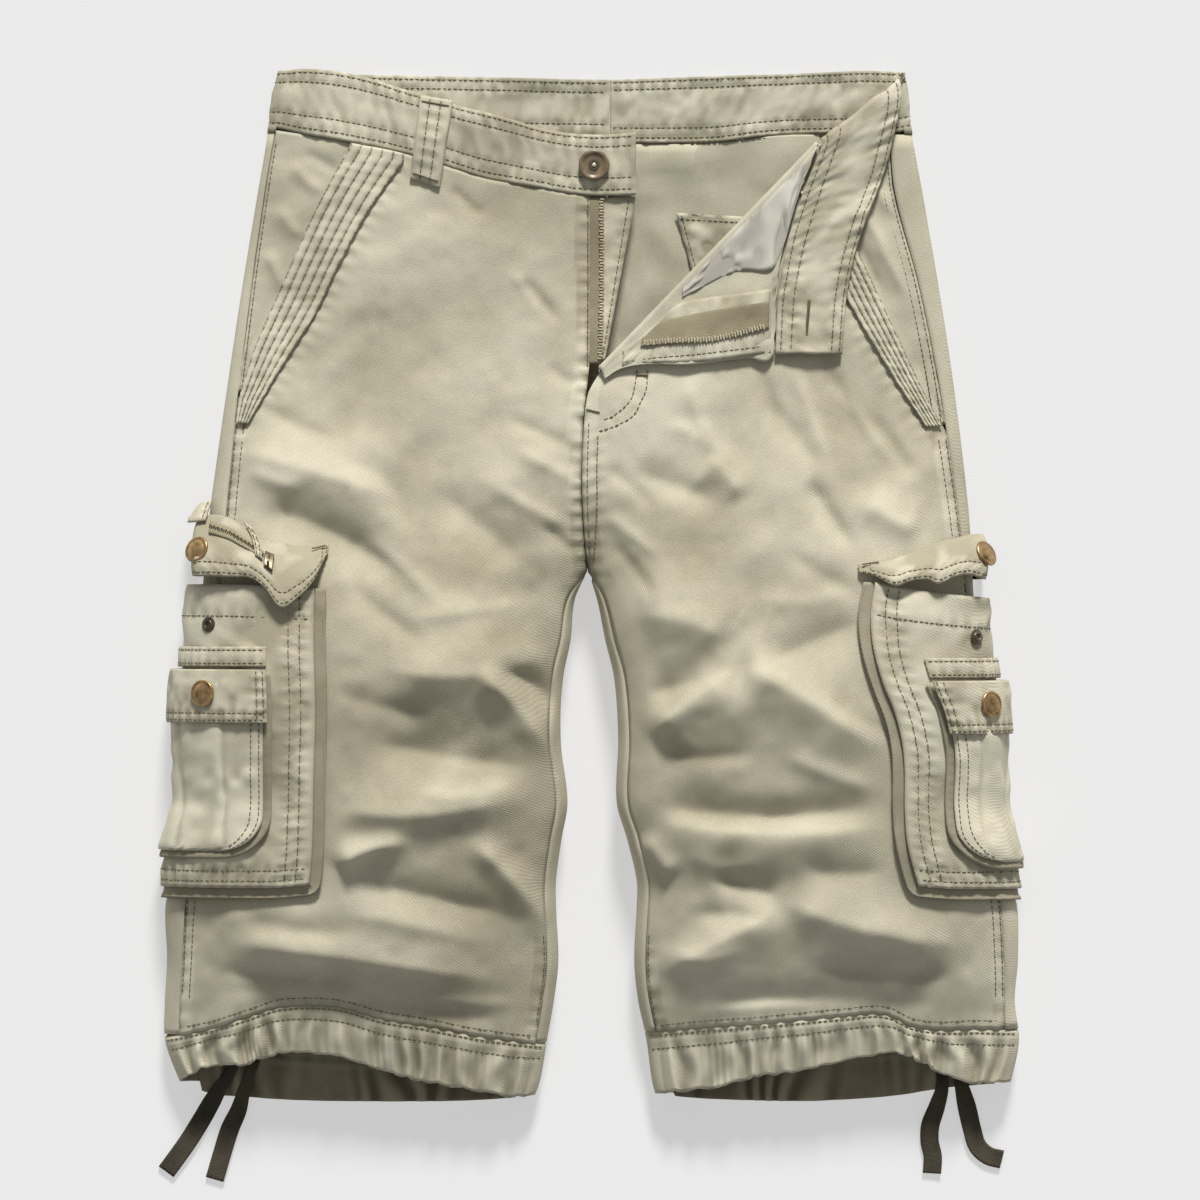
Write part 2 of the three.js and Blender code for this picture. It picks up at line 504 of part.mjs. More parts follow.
// The inner end's path, from the surface up round the inside of the leg to the inseam
function backInner(side, share, down) {
  const crotchShare = side === RIGHT ? 0.4435 : 0.3037;
  const inner = LEGS[side].inner(down);
  const edge = edgeHeight(down);
  const path = [];
  if (share < crotchShare - 0.05) {
    const end = CENTRE_BACK(down) + side * SEAM / 2;
    path.push([end + side * 55, 0], [end, 0]);
  } else if (share < crotchShare - 0.01) {
    const end = CENTRE_BACK(down) + side * SEAM / 2;
    path.push([end + side * 45, 0], [end + side * 16, 0], [end + side * 6, 1.5], [end, 5]);
  } else {
    const start = share < crotchShare + 0.01 ? innerSeam(side, down) : inner;
    for (const angle of steps(Math.PI / 2, 0, INNER_ARC_STEPS)) {
      path.push([start + side * edge * EDGE_REACH * (1 - Math.cos(angle)), edge * (1 - Math.sin(angle))]);
    }
    const seam = innerSeam(side, down) - side * SEAM;
    const climbs = share > crotchShare + 0.01 ? [0.15, 0.5, 1] : [];
    for (const climb of climbs) {
      const x = mix(inner, seam, climb);
      path.push([x, height(x, down)]);
    }
  }
  const sum = [0];
  for (let i = 1; i < path.length; i += 1) {
    sum.push(sum[i - 1] + Math.hypot(path[i][0] - path[i - 1][0], path[i][1] - path[i - 1][1]));
  }
  return BACK_SHARES.inner.map(part => {
    const [x, z] = onPath(path, sum, part * sum[sum.length - 1]);
    return new THREE.Vector3(x, yOf(down), z);
  });
}
function backRows(side) {
  const crotchShare = side === RIGHT ? 0.4435 : 0.3037;
  return ROWS[side].map((share, row) => {
    const ends = rowEnds(side, share);
    const isFirst = row === 0;
    const isLast = row === ROWS[side].length - 1;
    const outerDown = isFirst ? BACK_CORNER[side] : ends.outerDown - (isLast ? CASING_GAP : 0);
    const upper = mix(BACK_SEAM(40) + 3 * SEAM, CROTCH, share / crotchShare);
    const innerDown = share < crotchShare ? upper : ends.innerDown;
    const outerPart = backOuter(side, outerDown);
    const innerPart = backInner(side, share, innerDown);
    const from = outerPart[outerPart.length - 1];
    const to = innerPart[0];
    const flat = BACK_SHARES.flat.map(part => {
      const x = mix(from.x, to.x, part);
      const straight = mix(outerDown, innerDown, part) + backSag(part) * ease(share * 3 - 2);
      const down = isFirst ? BACK_SEAM(x) + 3 * SEAM : straight;
      return new THREE.Vector3(x, yOf(down), floorHeight(side, x, down));
    });
    return [...outerPart, ...flat, ...innerPart];
  });
}
const BACK_LAST = BACK_SHARES.outer.length + BACK_SHARES.flat.length + BACK_SHARES.inner.length - 1;
for (const [side, name, crotchRow] of [[RIGHT, 'back_right', 11], [LEFT, 'back_left', 7]]) {
  wall(name, TWILL, backRows(side), {
    upAt: [2, 0],
    onSeam: (i, j) => j === 0 || (j === BACK_LAST && i > crotchRow),
  });
}

// Gathered casings at the hems, each a ring: over the front in waves, then round under the leg
const CASING_THICK = 2;
const GATHERS = 17;
const GATHER_RISE = 1.5;
const GATHER_DRIFT = 0.008;
const WAVE = [0, 1, 0, -1];
const CASING_SHARES = [0, 0.5, 1];
const CASING_SWELL = [0.6, 1.2, 1];
const HEM_LEVEL = 645;
const CASING_ARC = [30, 60, 90].map(THREE.MathUtils.degToRad);

// The front's own lower edge is straight between its columns
function straightLine(side) {
  const { outer, inner } = rowEnds(side, 1);
  const spots = COLUMNS.map(share => mix(outer, inner, share)).sort((a, b) => a - b);
  return x => {
    const i = clamp(spots.findIndex(spot => spot >= x) - 1, -1, spots.length - 2);
    if (i < 0) return CASING_TOP[side](x);
    const t = (x - spots[i]) / (spots[i + 1] - spots[i]);
    return mix(CASING_TOP[side](spots[i]), CASING_TOP[side](spots[i + 1]), t);
  };
}
function casingRows(side) {
  const leg = LEGS[side];
  const topLine = straightLine(side);
  const outerRef = leg.outer(HEM_LEVEL);
  const innerRef = leg.inner(HEM_LEVEL);
  const last = GATHERS * 4;
  const edgeSpan = ref => [CASING_TOP[side](ref), HEM_FRONT[side](ref)];
  return CASING_SHARES.map((share, row) => {
    const front = Array.from({ length: last + 1 }, (_, i) => {
      const drift = GATHER_DRIFT * Math.sin(6 * Math.PI * i / last);
      const across = i / last + drift;
      let x = mix(innerRef, outerRef, across);
      let down = HEM_LEVEL;
      for (let turn = 0; turn < 6; turn += 1) {
        down = mix(topLine(x), HEM_FRONT[side](x), share);
        x = mix(leg.inner(down), leg.outer(down), across);
      }
      const calm = ease(Math.min(across, 1 - across) * 12);
      return onTop(x, down, WAVE[i % 4] * GATHER_RISE * CASING_SWELL[row] * calm);
    });
    const arc = (ref, seam, angles) => angles.map(angle => {
      const down = mix(...edgeSpan(ref), share);
      const edge = edgeHeight(down);
      const x = seam(down) + Math.sign(leg.inner(down) + leg.outer(down) - 2 * seam(down)) * edge * EDGE_REACH
        * (1 - Math.cos(angle));
      return new THREE.Vector3(x, yOf(down), edge * (1 - Math.sin(angle)));
    });
    const outerArc = arc(outerRef, leg.outer, CASING_ARC);
    const innerArc = arc(innerRef, leg.inner, [...CASING_ARC].reverse());
    const flat = BACK_SHARES.flat.map(part => {
      const x = mix(outerArc[2].x, innerArc[0].x, part);
      const top = mix(CASING_TOP[side](outerRef), CASING_TOP[side](innerRef), part) + backSag(part);
      return new THREE.Vector3(x, yOf(mix(top, HEM_BACK[side](x), share)), 0);
    });
    return [...front, ...outerArc, ...flat, ...innerArc];
  });
}
const casingSeam = (i, j) => i === 0 && j > 2 && j < GATHERS * 4 - 2;
const casingOptions = { thick: CASING_THICK, ring: true, upAt: [1, 30], onSeam: casingSeam };
wall('casing_right', TWILL, casingRows(RIGHT), casingOptions);
wall('casing_left', TWILL, casingRows(LEFT), casingOptions);

// Waistband, in two halves that meet at the centre back. It stands a little proud of the fronts.
const PROUD = 0.6;
const BAND_SHARES = [0, 0.5, 1];
const CORNER_ALONG = [9, 4, 1.5, 0, -2, -4.5];
const BACK_STATIONS = steps(0, 1, 8);
const bandSpot = (x, top, seam, share) => onTop(x, mix(top, seam, share), PROUD);
const backBand = (side, share) => BACK_STATIONS.map(part => {
  const x = mix(side * 199, CENTRE_BACK(20) + side * SEAM / 2, part);
  return new THREE.Vector3(x, yOf(mix(BACK_TOP(x), BACK_SEAM(x), share)), 0);
});
const bandCorner = (side, share) => CORNER_ALONG.map(along => {
  const down = mix(BACK_TOP(side * 205), BACK_SEAM(side * 212), share);
  return around(side, down, along, along > 0 ? PROUD : 0);
});
const FRONT_STATIONS = [-188, -172, -155, -138, -121, -104, -87, -70, -52, -34, -17, 0, 14, 28].reverse();
wall('waistband_right', TWILL, BAND_SHARES.map(share => [
  ...FRONT_STATIONS.map(x => bandSpot(x, WAIST_TOP(x), WAIST_SEAM(x), share)),
  ...bandCorner(RIGHT, share),
  ...backBand(RIGHT, share),
]), { thick: BAND, upAt: [1, 3] });

// The left half is turned back over the crease, wrong side up, down to its buttonhole end
const BAND_CREASE = { top: [200, 9.5], seam: [149, 48.2] };
const BAND_BEFORE = { top: [201, 6], seam: [176, 44.5] };
const STRIP_STATIONS = steps(0, 1, 8).slice(1);
const STRIP_END = 186;
const between = (line, share) => [0, 1].map(i => mix(line.top[i], line.seam[i], share));
wall('waistband_left', TWILL, BAND_SHARES.map(share => [
  ...backBand(LEFT, share).reverse(),
  ...bandCorner(LEFT, share).reverse().slice(0, -1),
  onTop(...between(BAND_BEFORE, share), PROUD),
  onTop(...between(BAND_CREASE, share), PROUD),
  ...[...TURN_ANGLES].reverse().map(angle => rolled(...between(BAND_CREASE, share), angle, PROUD)),
  onTop(...between(BAND_CREASE, share), PROUD + TURN_GAP),
  ...STRIP_STATIONS.map(part => {
    const topDown = mix(BAND_CREASE.top[1], STRIP_END, part);
    const seamDown = mix(BAND_CREASE.seam[1], STRIP_END, part);
    const x = mix(STRIP_TOP_EDGE(topDown), STRIP_SEAM_EDGE(seamDown), share);
    return onTop(x, mix(topDown, seamDown, share), PROUD + TURN_GAP);
  }),
]), { thick: BAND, upAt: [1, 15] });

// Facings seen through the slanted pocket mouths; they dip under the fronts
const FACING_SINK = CLOTH + 0.8;
const FACING_UNDER = 8;
const FACING_TOP = {
  [RIGHT]: x => WAIST_SEAM(x) + SEAM,
  [LEFT]: x => mix(BAND_CREASE.seam[1], 40, (x - BAND_CREASE.seam[0]) / (203 - BAND_CREASE.seam[0])) + 0.6,
};
function facingRows(side) {
  const end = SLANT_END[side] - 5;
  return steps(0, 1, 7).map(part => {
    const guess = mix(FACING_TOP[side](side * 206), end, part);
    const outer = SIDE_SEAM[side](guess) - 2 * side * SEAM;
    const under = clamp((guess - 44) * 0.3, 0.5, FACING_UNDER);
    const inner = SLANT[side](guess) - side * under;
    return steps(0, 1, 4).map(across => {
      const x = mix(outer, inner, across);
      const down = mix(FACING_TOP[side](x), end, part);
      const mouth = Math.max(Math.abs(outer - SLANT[side](guess)) - 4, 1);
      return onTop(x, down, -FACING_SINK * clamp(Math.abs(x - outer) / mouth));
    });
  });
}
wall('pocket_facing_right', TWILL, facingRows(RIGHT), { onSeam: (i, j) => j === 0 });
wall('pocket_facing_left', TWILL, facingRows(LEFT), { onSeam: (i, j) => j === 0 });

// Quilted bands along the slanted mouths: five ribs between six rows of stitching
const LAY = 0.4;
const RIBS = 5;
const RIB_RISE = 0.7;
const BAND_EDGE_INSET = 0.8;
const MOUTH_BANDS = {
  [RIGHT]: { from: 58, to: 230, inner: through([[57, -122], [90, -142.5], [130, -163.5], [163, -179.5], [202, -204.5],
    [230, -222]]) },
  [LEFT]: { from: 80, to: 232, inner: through([[78, 133], [108, 145], [151.5, 165.4], [200, 194], [232, 215]]) },
};
function mouthBandRows(side) {
  const band = MOUTH_BANDS[side];
  const startAt = x => (side === RIGHT ? WAIST_SEAM(x) + 2 * SEAM : band.from);
  return steps(0, 1, 8).map(part => {
    const guess = mix(side === RIGHT ? 52 : band.from, band.to, part);
    const outer = outerSeam(side, guess) - side * BAND_EDGE_INSET;
    return steps(0, 1, RIBS * 2).map(across => {
      const x = mix(outer, band.inner(guess), across);
      return onTop(x, mix(startAt(x), band.to, part), 2 * LAY + CLOTH);
    });
  });
}
const ribRelief = (i, j) => (j % 2 === 1 ? RIB_RISE : 0);
wall('mouth_band_right', TWILL, mouthBandRows(RIGHT), { relief: ribRelief });
wall('mouth_band_left', TWILL, mouthBandRows(LEFT), { relief: ribRelief });

// A four-sided patch laid over the fronts: rows from its upper edge to its lower edge
function patchRows(upper, lower, rowCount, out) {
  return steps(0, 1, rowCount).map(part => upper.map((start, j) => (
    onTop(mix(start[0], lower[j][0], part), mix(start[1], lower[j][1], part), out(part)))));
}
const spread = (from, to, count) => steps(0, 1, count).map(part => [mix(from[0], to[0], part), mix(from[1], to[1], part)]);

// Belt loop on the right half of the waistband
const LOOP_THICK = 1.8;
const LOOP_BULGE = 2.4;
wall('belt_loop', TWILL, patchRows(
  spread([-111.5, 17.5], [-90.5, 21], 2),
  spread([-118, 71.5], [-99, 78], 2),
  7,
  part => PROUD + LAY + LOOP_THICK + LOOP_BULGE * Math.sin(Math.PI * part),
), { thick: LOOP_THICK });

// Fly: the right zip tape and the underlap below the right front's edge
const TAPE_SINK = CLOTH + LAY;
const UNDERLAP_SINK = TAPE_SINK + BAG + LAY;
wall('zip_tape_right', ZIP_TAPE, patchRows([[-8, 83.5], [6.8, 83.2]], [[-8, 192], [6, 192]], 6, () => -TAPE_SINK),
  { thick: BAG });
wall('fly_underlap', TWILL, patchRows(
  [[-9, 83.5], [10, 83.4], [28, 83]],
  [[-9, 190], [0, 191], [8, 190]],
  3,
  () => -UNDERLAP_SINK,
), { thick: 1.6 });

// The turned corner's upper layers: pocket bag, fly facing and left zip tape
const TURNED_TOP = TURN_GAP + CLOTH;
const BAG_COLUMNS = [
  { from: [58, 142.5], to: [58, 149.5] },
  { from: [75, 125], to: [75, 140] },
  { from: [95, 104], to: [95, 131.5] },
  { from: [112, 87], to: [115, 131] },
  { from: [122, 76.5], to: [122.5, 118] },
  { from: [131, 67], to: [129.5, 95] },
  { from: [138, 60.5], to: [135.5, 76] },
];
wall('pocket_bag', POCKETING, patchRows(
  BAG_COLUMNS.map(line => line.from),
  BAG_COLUMNS.map(line => line.to),
  3,
  () => TURNED_TOP + LAY + BAG,
), { thick: BAG });
wall('fly_facing', TWILL_INSIDE, patchRows(
  [[20, 185], [28, 177.5], [40, 167], [56, 153], [75, 149], [95, 146.5], [115, 143.5]],
  [[19, 193], [28, 191.5], [41, 191], [57, 191.5], [75, 190], [95, 187.5], [115, 185]],
  3,
  () => TURNED_TOP + LAY + BAG,
), { thick: BAG });
wall('zip_tape_left', ZIP_TAPE, patchRows(
  [[32, 176], [44, 165.5], [60, 161], [78, 157.5], [96, 154.5], [114, 151.8]],
  [[31, 181], [44, 180], [60, 179], [78, 178], [96, 174], [114, 169.5]],
  2,
  () => TURNED_TOP + 2 * (LAY + BAG),
), { thick: BAG });

// The back pocket's bag, seen on the inside of the left back
const insideSpot = (x, down) => new THREE.Vector3(x, yOf(down), CLOTH + LAY + BAG);
wall('back_pocket_bag', TWILL_INSIDE, steps(0, 1, 3).map(part => steps(0, 1, 3).map(across => (
  insideSpot(mix(mix(54, 125, across), mix(70, 125, across), part), mix(mix(93, 97, across), 150, part))))),
{ thick: BAG });

// A turned piece standing on a face: its profile runs from the middle of its foot to the middle of its top
function turnedPiece(name, look, profile, place, normal, segments = 18) {
  const lathe = new THREE.LatheGeometry(profile.map(([radius, rise]) => new THREE.Vector2(radius, rise)), segments);
  const mesh = new THREE.Mesh(lathe, new THREE.MeshStandardMaterial(look));
  mesh.name = name;
  mesh.position.copy(place);
  mesh.quaternion.setFromUnitVectors(new THREE.Vector3(0, 1, 0), normal.clone().normalize());
  garment.add(mesh);
}
const BUTTON_PROFILE = [[0, 0], [8.4, 0], [BUTTON_RADIUS, 1.2], [BUTTON_RADIUS, 2.3], [8.9, 3.2], [7.7, 3], [6.8, 2.2],
  [4, 1.9], [0, 1.9]];
turnedPiece('waist_button', HORN, BUTTON_PROFILE, onTop(1, 63, PROUD + 2 * LAY), new THREE.Vector3(0, 0, 1), 24);

// Cargo pockets on the sides. The face runs from its front edge round the side to its back edge under the leg;
// "across" goes from 0 at the front edge to 1, and "below" is the distance from the mouth.
const FACE_FRONT = {
  [RIGHT]: through([[333, -178.4], [373, -178.4], [415, -177.3], [461, -178.4], [506, -179.5], [532, -182]]),
  [LEFT]: through([[333, 181.5], [351, 178.5], [373, 179.5], [398, 186], [415, 193], [434, 198], [452, 199.9],
    [479, 200], [502, 202], [532, 210]]),
};
const MOUTH = {
  [RIGHT]: through([[0, 337], [0.3, 334.5], [0.6, 334.5], [1, 336]]),
  [LEFT]: through([[0, 333], [0.2, 339], [0.45, 343], [0.6, 344], [1, 342]]),
};
const FACE_BOTTOM = {
  [RIGHT]: through([[0, POCKET_BOTTOM - 2], [0.15, POCKET_BOTTOM], [1, POCKET_BOTTOM]]),
  [LEFT]: through([[0, POCKET_BOTTOM - 1], [0.15, POCKET_BOTTOM + 1], [1, POCKET_BOTTOM + 2]]),
};
const FACE_DEPTH = through([[335, 11], [370, 9.5], [400, 9.5], [430, 8], [455, 5], [475, 3.2], [495, 6], [515, 8], [532, 6.5]]);
const FRONT_DEPTH = 7;
const fronts = new Map();
function faceFront(side, down) {
  const key = `${side} ${down.toFixed(2)}`;
  if (!fronts.has(key)) fronts.set(key, alongAt(side, down, FACE_FRONT[side](down), FRONT_DEPTH));
  return fronts.get(key);
}
function faceDepth(across, down) {
  const swell = mix(FRONT_DEPTH, FACE_DEPTH(down), ease(across / 0.22));
  return mix(swell, POCKET_LIFT, ease((across - 0.6) / 0.22));
}
function onFace(side, across, down, out = 0) {
  const along = faceFront(side, down) - POCKET_WIDTH * across;
  return around(side, down, along, faceDepth(across, down) + out);
}
const FACE_COLUMNS = [0, 0.05, 0.12, 0.2, 0.28, 0.36, 0.43, 0.5, 0.57, 0.64, 0.72, 0.8, 0.9, 1];
const FACE_ROWS = steps(0, 1, 10);
const faceRows = side => FACE_ROWS.map(part => FACE_COLUMNS.map(across => (
  onFace(side, across, mix(MOUTH[side](across), FACE_BOTTOM[side](across), part)))));

// The gusset's strip runs down the front edge, along the bottom and up the back edge
const GUSSET_SIDE = FACE_ROWS.filter((part, i) => i % 2 === 0);
const GUSSET_STATIONS = [
  ...GUSSET_SIDE.map(part => ({ across: 0, part, push: [1, 0] })),
  { across: 0, part: 1, push: [0.72, 0.72] },
  ...FACE_COLUMNS.map(across => ({ across, part: 1, push: [0, 1] })),
  { across: 1, part: 1, push: [-0.72, 0.72] },
  ...[...GUSSET_SIDE].reverse().map(part => ({ across: 1, part, push: [-1, 0] })),
];
const GUSSET_LAYERS = [
  { spread: GUSSET_SPREAD, pressed: GUSSET_SPREAD, level: 0, swell: 0 },
  { spread: GUSSET_SPREAD + 0.8, pressed: 2.5, level: 0.55, swell: 0.4 },
  { spread: -1.2, pressed: -1, level: 1, swell: 0 },
];
const GUSSET_FOOT = { side: CLOTH + 1.8, pressed: CLOTH + 0.5 };
const GUSSET_FLOOR = CLOTH + 1.05;
const GUSSET_DEEP = { side: 1.5, pressed: 0.7 };
function gussetRows(side) {
  return GUSSET_LAYERS.map(layer => GUSSET_STATIONS.map(({ across, part, push }) => {
    const base = mix(MOUTH[side](across), FACE_BOTTOM[side](across), part);
    const start = faceFront(side, base) - POCKET_WIDTH * across;
    const pressed = ease((-start - 20) / 14);
    const reach = mix(layer.spread, layer.pressed, pressed);
    const down = base + push[1] * reach;
    const along = start + push[0] * reach;
    const foot = mix(GUSSET_FOOT.side, GUSSET_FOOT.pressed, pressed);
    const top = faceDepth(across, base) - CLOTH - mix(GUSSET_DEEP.side, GUSSET_DEEP.pressed, pressed);
    const spot = around(side, down, along, mix(foot, Math.max(top, foot), layer.level) + layer.swell * (1 - pressed));
    spot.z = Math.max(spot.z, GUSSET_FLOOR);
    return spot;
  }));
}

// The flaps: visible stations by x from the front tip to the side, then stations under the leg by "along"
const FLAP_THICK = 1.6;
const FLAPS = {
  [RIGHT]: [
    { x: -169.5, top: 308.5, bottom: 313, outTop: 2.7, outBottom: 4 },
    { x: -178, top: 308.8, bottom: 331, outTop: 2.4, outBottom: 12 },
    { x: -189, top: 309, bottom: 343, outTop: 2.6, outBottom: 15 },
    { x: -199, top: 308, bottom: 349, outTop: 3, outBottom: 16 },
    { x: -209.5, top: 306, bottom: 336.5, outTop: 4, outBottom: 17 },
    { x: -219, top: 300.5, bottom: 330, outTop: 5, outBottom: 17 },
    { x: -231, top: 292.5, bottom: 329.5, outTop: 6, outBottom: 17 },
    { x: -244, top: 289, bottom: 329, outTop: 8, outBottom: 18 },
    { x: -255, top: 290.5, bottom: 329, outTop: 10, outBottom: 19 },
  ],
  [LEFT]: [
    { x: 170.5, top: 321.5, bottom: 326, outTop: 2.4, outBottom: 4 },
    { x: 181, top: 319.5, bottom: 328.5, outTop: 2.1, outBottom: 9 },
    { x: 193.5, top: 317, bottom: 335, outTop: 2.2, outBottom: 15 },
    { x: 204, top: 313.5, bottom: 332, outTop: 4, outBottom: 16 },
    { x: 215, top: 309.5, bottom: 331, outTop: 5, outBottom: 16 },
    { x: 222, top: 307, bottom: 334, outTop: 6, outBottom: 17 },
    { x: 232, top: 304.5, bottom: 329.5, outTop: 7, outBottom: 17 },
    { x: 242, top: 302, bottom: 328, outTop: 8, outBottom: 17.5 },
    { x: 252, top: 302, bottom: 331, outTop: 9, outBottom: 18 },
  ],
};
const FLAP_UNDER = [
  { along: -9, outTop: 10, outBottom: 17 },
  { along: -22, outTop: 8, outBottom: 12 },
  { along: -38, outTop: 3.6, outBottom: 3.6 },
  { along: -56, outTop: 3.6, outBottom: 3.6 },
  { along: -74, outTop: 3.6, outBottom: 3.6 },
];
const FLAP_BULGE = 2.5;
function flapStations(side) {
  const seen = FLAPS[side];
  const end = seen[seen.length - 1];
  const shown = seen.map(spot => ({
    ...spot,
    alongTop: alongAt(side, spot.top, spot.x, spot.outTop),
    alongBottom: alongAt(side, spot.bottom, spot.x, spot.outBottom),
  }));
  const under = FLAP_UNDER.map(spot => ({
    ...spot, top: end.top, bottom: end.bottom, alongTop: spot.along, alongBottom: spot.along,
  }));
  return [...shown, ...under];
}
const flapTables = { [RIGHT]: flapStations(RIGHT), [LEFT]: flapStations(LEFT) };
function onFlap(side, station, part, out = 0) {
  const table = flapTables[side];
  const i = clamp(Math.floor(station), 0, table.length - 2);
  const value = name => mix(table[i][name], table[i + 1][name], station - i);
  const under = value('outTop') < 3.7 && value('alongTop') < 0;
  const bulge = under ? 0 : FLAP_BULGE * Math.sin(Math.PI * part) * ease(station / 2);
  return around(
    side,
    mix(value('top'), value('bottom'), part),
    mix(value('alongTop'), value('alongBottom'), part),
    mix(value('outTop'), value('outBottom'), part) + bulge + out,
  );
}
const flapRows = side => steps(0, 1, 4).map(part => flapTables[side].map((_, station) => onFlap(side, station, part)));

// The small bellows pocket on each cargo face, with its own gusset, band and flap. It ends just past the
// side's widest point, where the rest of it is pressed flat under the leg.
const SMALL = { from: 0.19, farAlong: -7, top: 57, bottom: 171, bandTop: 40, bandBottom: 53, flapBottom: 89 };
const SMALL_GUSSET_OUT = CLOTH + 1.4;
const SMALL_GUSSET_SPREAD = 5;
const SMALL_EDGE_OUT = SMALL_GUSSET_OUT + 2 * LAY + CLOTH;
const SMALL_SWELL = 2.4;
const SMALL_CORNER = 24;
const PLEATS = [0.3, 0.68];
const PLEAT_DEPTH = 0.9;
const SMALL_COLUMNS = [0, 0.1, 0.2, 0.3, 0.4, 0.5, 0.59, 0.68, 0.79, 0.9, 1];
const SMALL_MIDDLE = 0.35;
function onSmall(side, part, below, out) {
  const down = MOUTH[side](SMALL_MIDDLE) + below;
  const far = (faceFront(side, down) - SMALL.farAlong) / POCKET_WIDTH;
  return onFace(side, mix(SMALL.from, far, part), down, out);
}
const smallWidth = side => faceFront(side, MOUTH[side](SMALL_MIDDLE) + 110) - SMALL.farAlong - SMALL.from * POCKET_WIDTH;
function smallOut(part, below) {
  const sideways = Math.sin(Math.PI * clamp(part));
  const downwards = Math.sin(Math.PI * clamp((below - SMALL.top) / (SMALL.bottom - SMALL.top), 0.12, 1));
  return SMALL_EDGE_OUT + SMALL_SWELL * Math.sqrt(sideways * downwards);
}

// The rounded lower corner draws the front edge in
const SMALL_DOWNS = [57, 66, 78, 92, 107, 122, 136, 147, 156, 163, 168, 171];
function cornerInset(side, below) {
  const deep = clamp((below - (SMALL.bottom - SMALL_CORNER)) / SMALL_CORNER);
  return SMALL_CORNER * (1 - Math.sqrt(1 - deep * deep)) / smallWidth(side);
}
const smallRows = side => SMALL_DOWNS.map(below => SMALL_COLUMNS.map(part => {
  const at = mix(cornerInset(side, below), 1, part);
  return onSmall(side, at, below, smallOut(at, below));
}));
const smallPleat = (i, j) => (PLEATS.includes(SMALL_COLUMNS[j]) ? -PLEAT_DEPTH : 0);

// Its gusset shows past the front edge, round the corner and along the bottom
function smallGussetRows(side) {
  const width = smallWidth(side);
  const base = SMALL.bottom - SMALL_CORNER;
  const edge = [
    ...[57, 70, 84, 98, 112, 126, 138].map(below => ({ part: 0, below, push: [-1, 0] })),
    ...steps(0, Math.PI / 2, 5).map(turn => ({
      part: SMALL_CORNER * (1 - Math.cos(turn)) / width,
      below: base + SMALL_CORNER * Math.sin(turn),
      push: [-Math.cos(turn), Math.sin(turn)],
    })),
    ...steps(SMALL_CORNER / width, 1, 8).slice(1).map(part => ({ part, below: SMALL.bottom, push: [0, 1] })),
  ];
  return [SMALL_GUSSET_SPREAD, -3].map(reach => edge.map(({ part, below, push }) => (
    onSmall(side, part + push[0] * reach / width, below + push[1] * reach, SMALL_GUSSET_OUT))));
}
const smallBandRows = side => [SMALL.bandTop, SMALL.bandBottom].map(below => (
  steps(-0.03, 1, 9).map(part => onSmall(side, part, below, SMALL_GUSSET_OUT))));
const SMALL_FLAP_OUT = CLOTH + 3 * LAY;
const onSmallFlap = (side, part, below, out = 0) => onSmall(side, part, below, smallOut(part, below) + SMALL_FLAP_OUT + out);
const smallFlapRows = side => steps(0, 1, 3).map(part => steps(-0.04, 1, 10).map(across => (
  onSmallFlap(side, across, mix(SMALL.bandBottom + 1.5, SMALL.flapBottom, part)))));

// Snap caps and the sockets they press on to
const CAP_PROFILE = [[0, 0], [CAP_RADIUS - 0.8, 0], [CAP_RADIUS, 0.8], [CAP_RADIUS - 0.5, 1.7], [5.6, 2.3], [0, 2.6]];
const SOCKET_PROFILE = [[0, 0], [SOCKET_RADIUS, 0], [SOCKET_RADIUS, 0.9], [3, 1.2], [2.2, 2], [0, 2]];
const SEAT = 0.2;
function fixed(name, profile, surface, at, raise = SEAT) {
  const [a, b] = at;
  const nudge = 0.01;
  const foot = surface(a, b, 0);
  const acrossWay = surface(a + nudge, b, 0).sub(surface(a - nudge, b, 0));
  const downWay = surface(a, b + 1, 0).sub(surface(a, b - 1, 0));
  const normal = acrossWay.cross(downWay).normalize();
  if (normal.z < 0) normal.negate();
  turnedPiece(name, BRASS, profile, foot.addScaledVector(normal, raise), normal, 16);
}
const FLAP_CAPS = { [RIGHT]: [7.75, 0.57], [LEFT]: [7.85, 0.45] };
const SOCKET_SPOT = [0.4, 26];
const SMALL_CAP_SPOT = [0.48, 70];

for (const [side, name] of [[RIGHT, 'right'], [LEFT, 'left']]) {
  wall(`cargo_face_${name}`, TWILL, faceRows(side), { upAt: [5, 3] });
  wall(`cargo_gusset_${name}`, TWILL, gussetRows(side), { upAt: [1, 3] });
  wall(`cargo_flap_${name}`, TWILL, flapRows(side), { thick: FLAP_THICK, upAt: [2, 4] });
  wall(`small_pocket_${name}`, TWILL, smallRows(side), { upAt: [4, 2], relief: smallPleat });
  wall(`small_gusset_${name}`, TWILL, smallGussetRows(side), { upAt: [0, 2] });
  wall(`small_band_${name}`, TWILL, smallBandRows(side), { upAt: [0, 2] });
  wall(`small_flap_${name}`, TWILL, smallFlapRows(side), { upAt: [1, 2] });
  const flapSurface = (station, part) => onFlap(side, station, part);
  const faceSurface = (across, below) => onFace(side, across, MOUTH[side](across) + below);
  const smallSurface = (part, below) => onSmallFlap(side, part, below);
  fixed(`flap_cap_${name}`, CAP_PROFILE, (a, b) => flapSurface(a, b / 100), [FLAP_CAPS[side][0], FLAP_CAPS[side][1] * 100]);
  fixed(`snap_socket_${name}`, SOCKET_PROFILE, faceSurface, SOCKET_SPOT);
  fixed(`small_cap_${name}`, CAP_PROFILE, smallSurface, SMALL_CAP_SPOT);
}

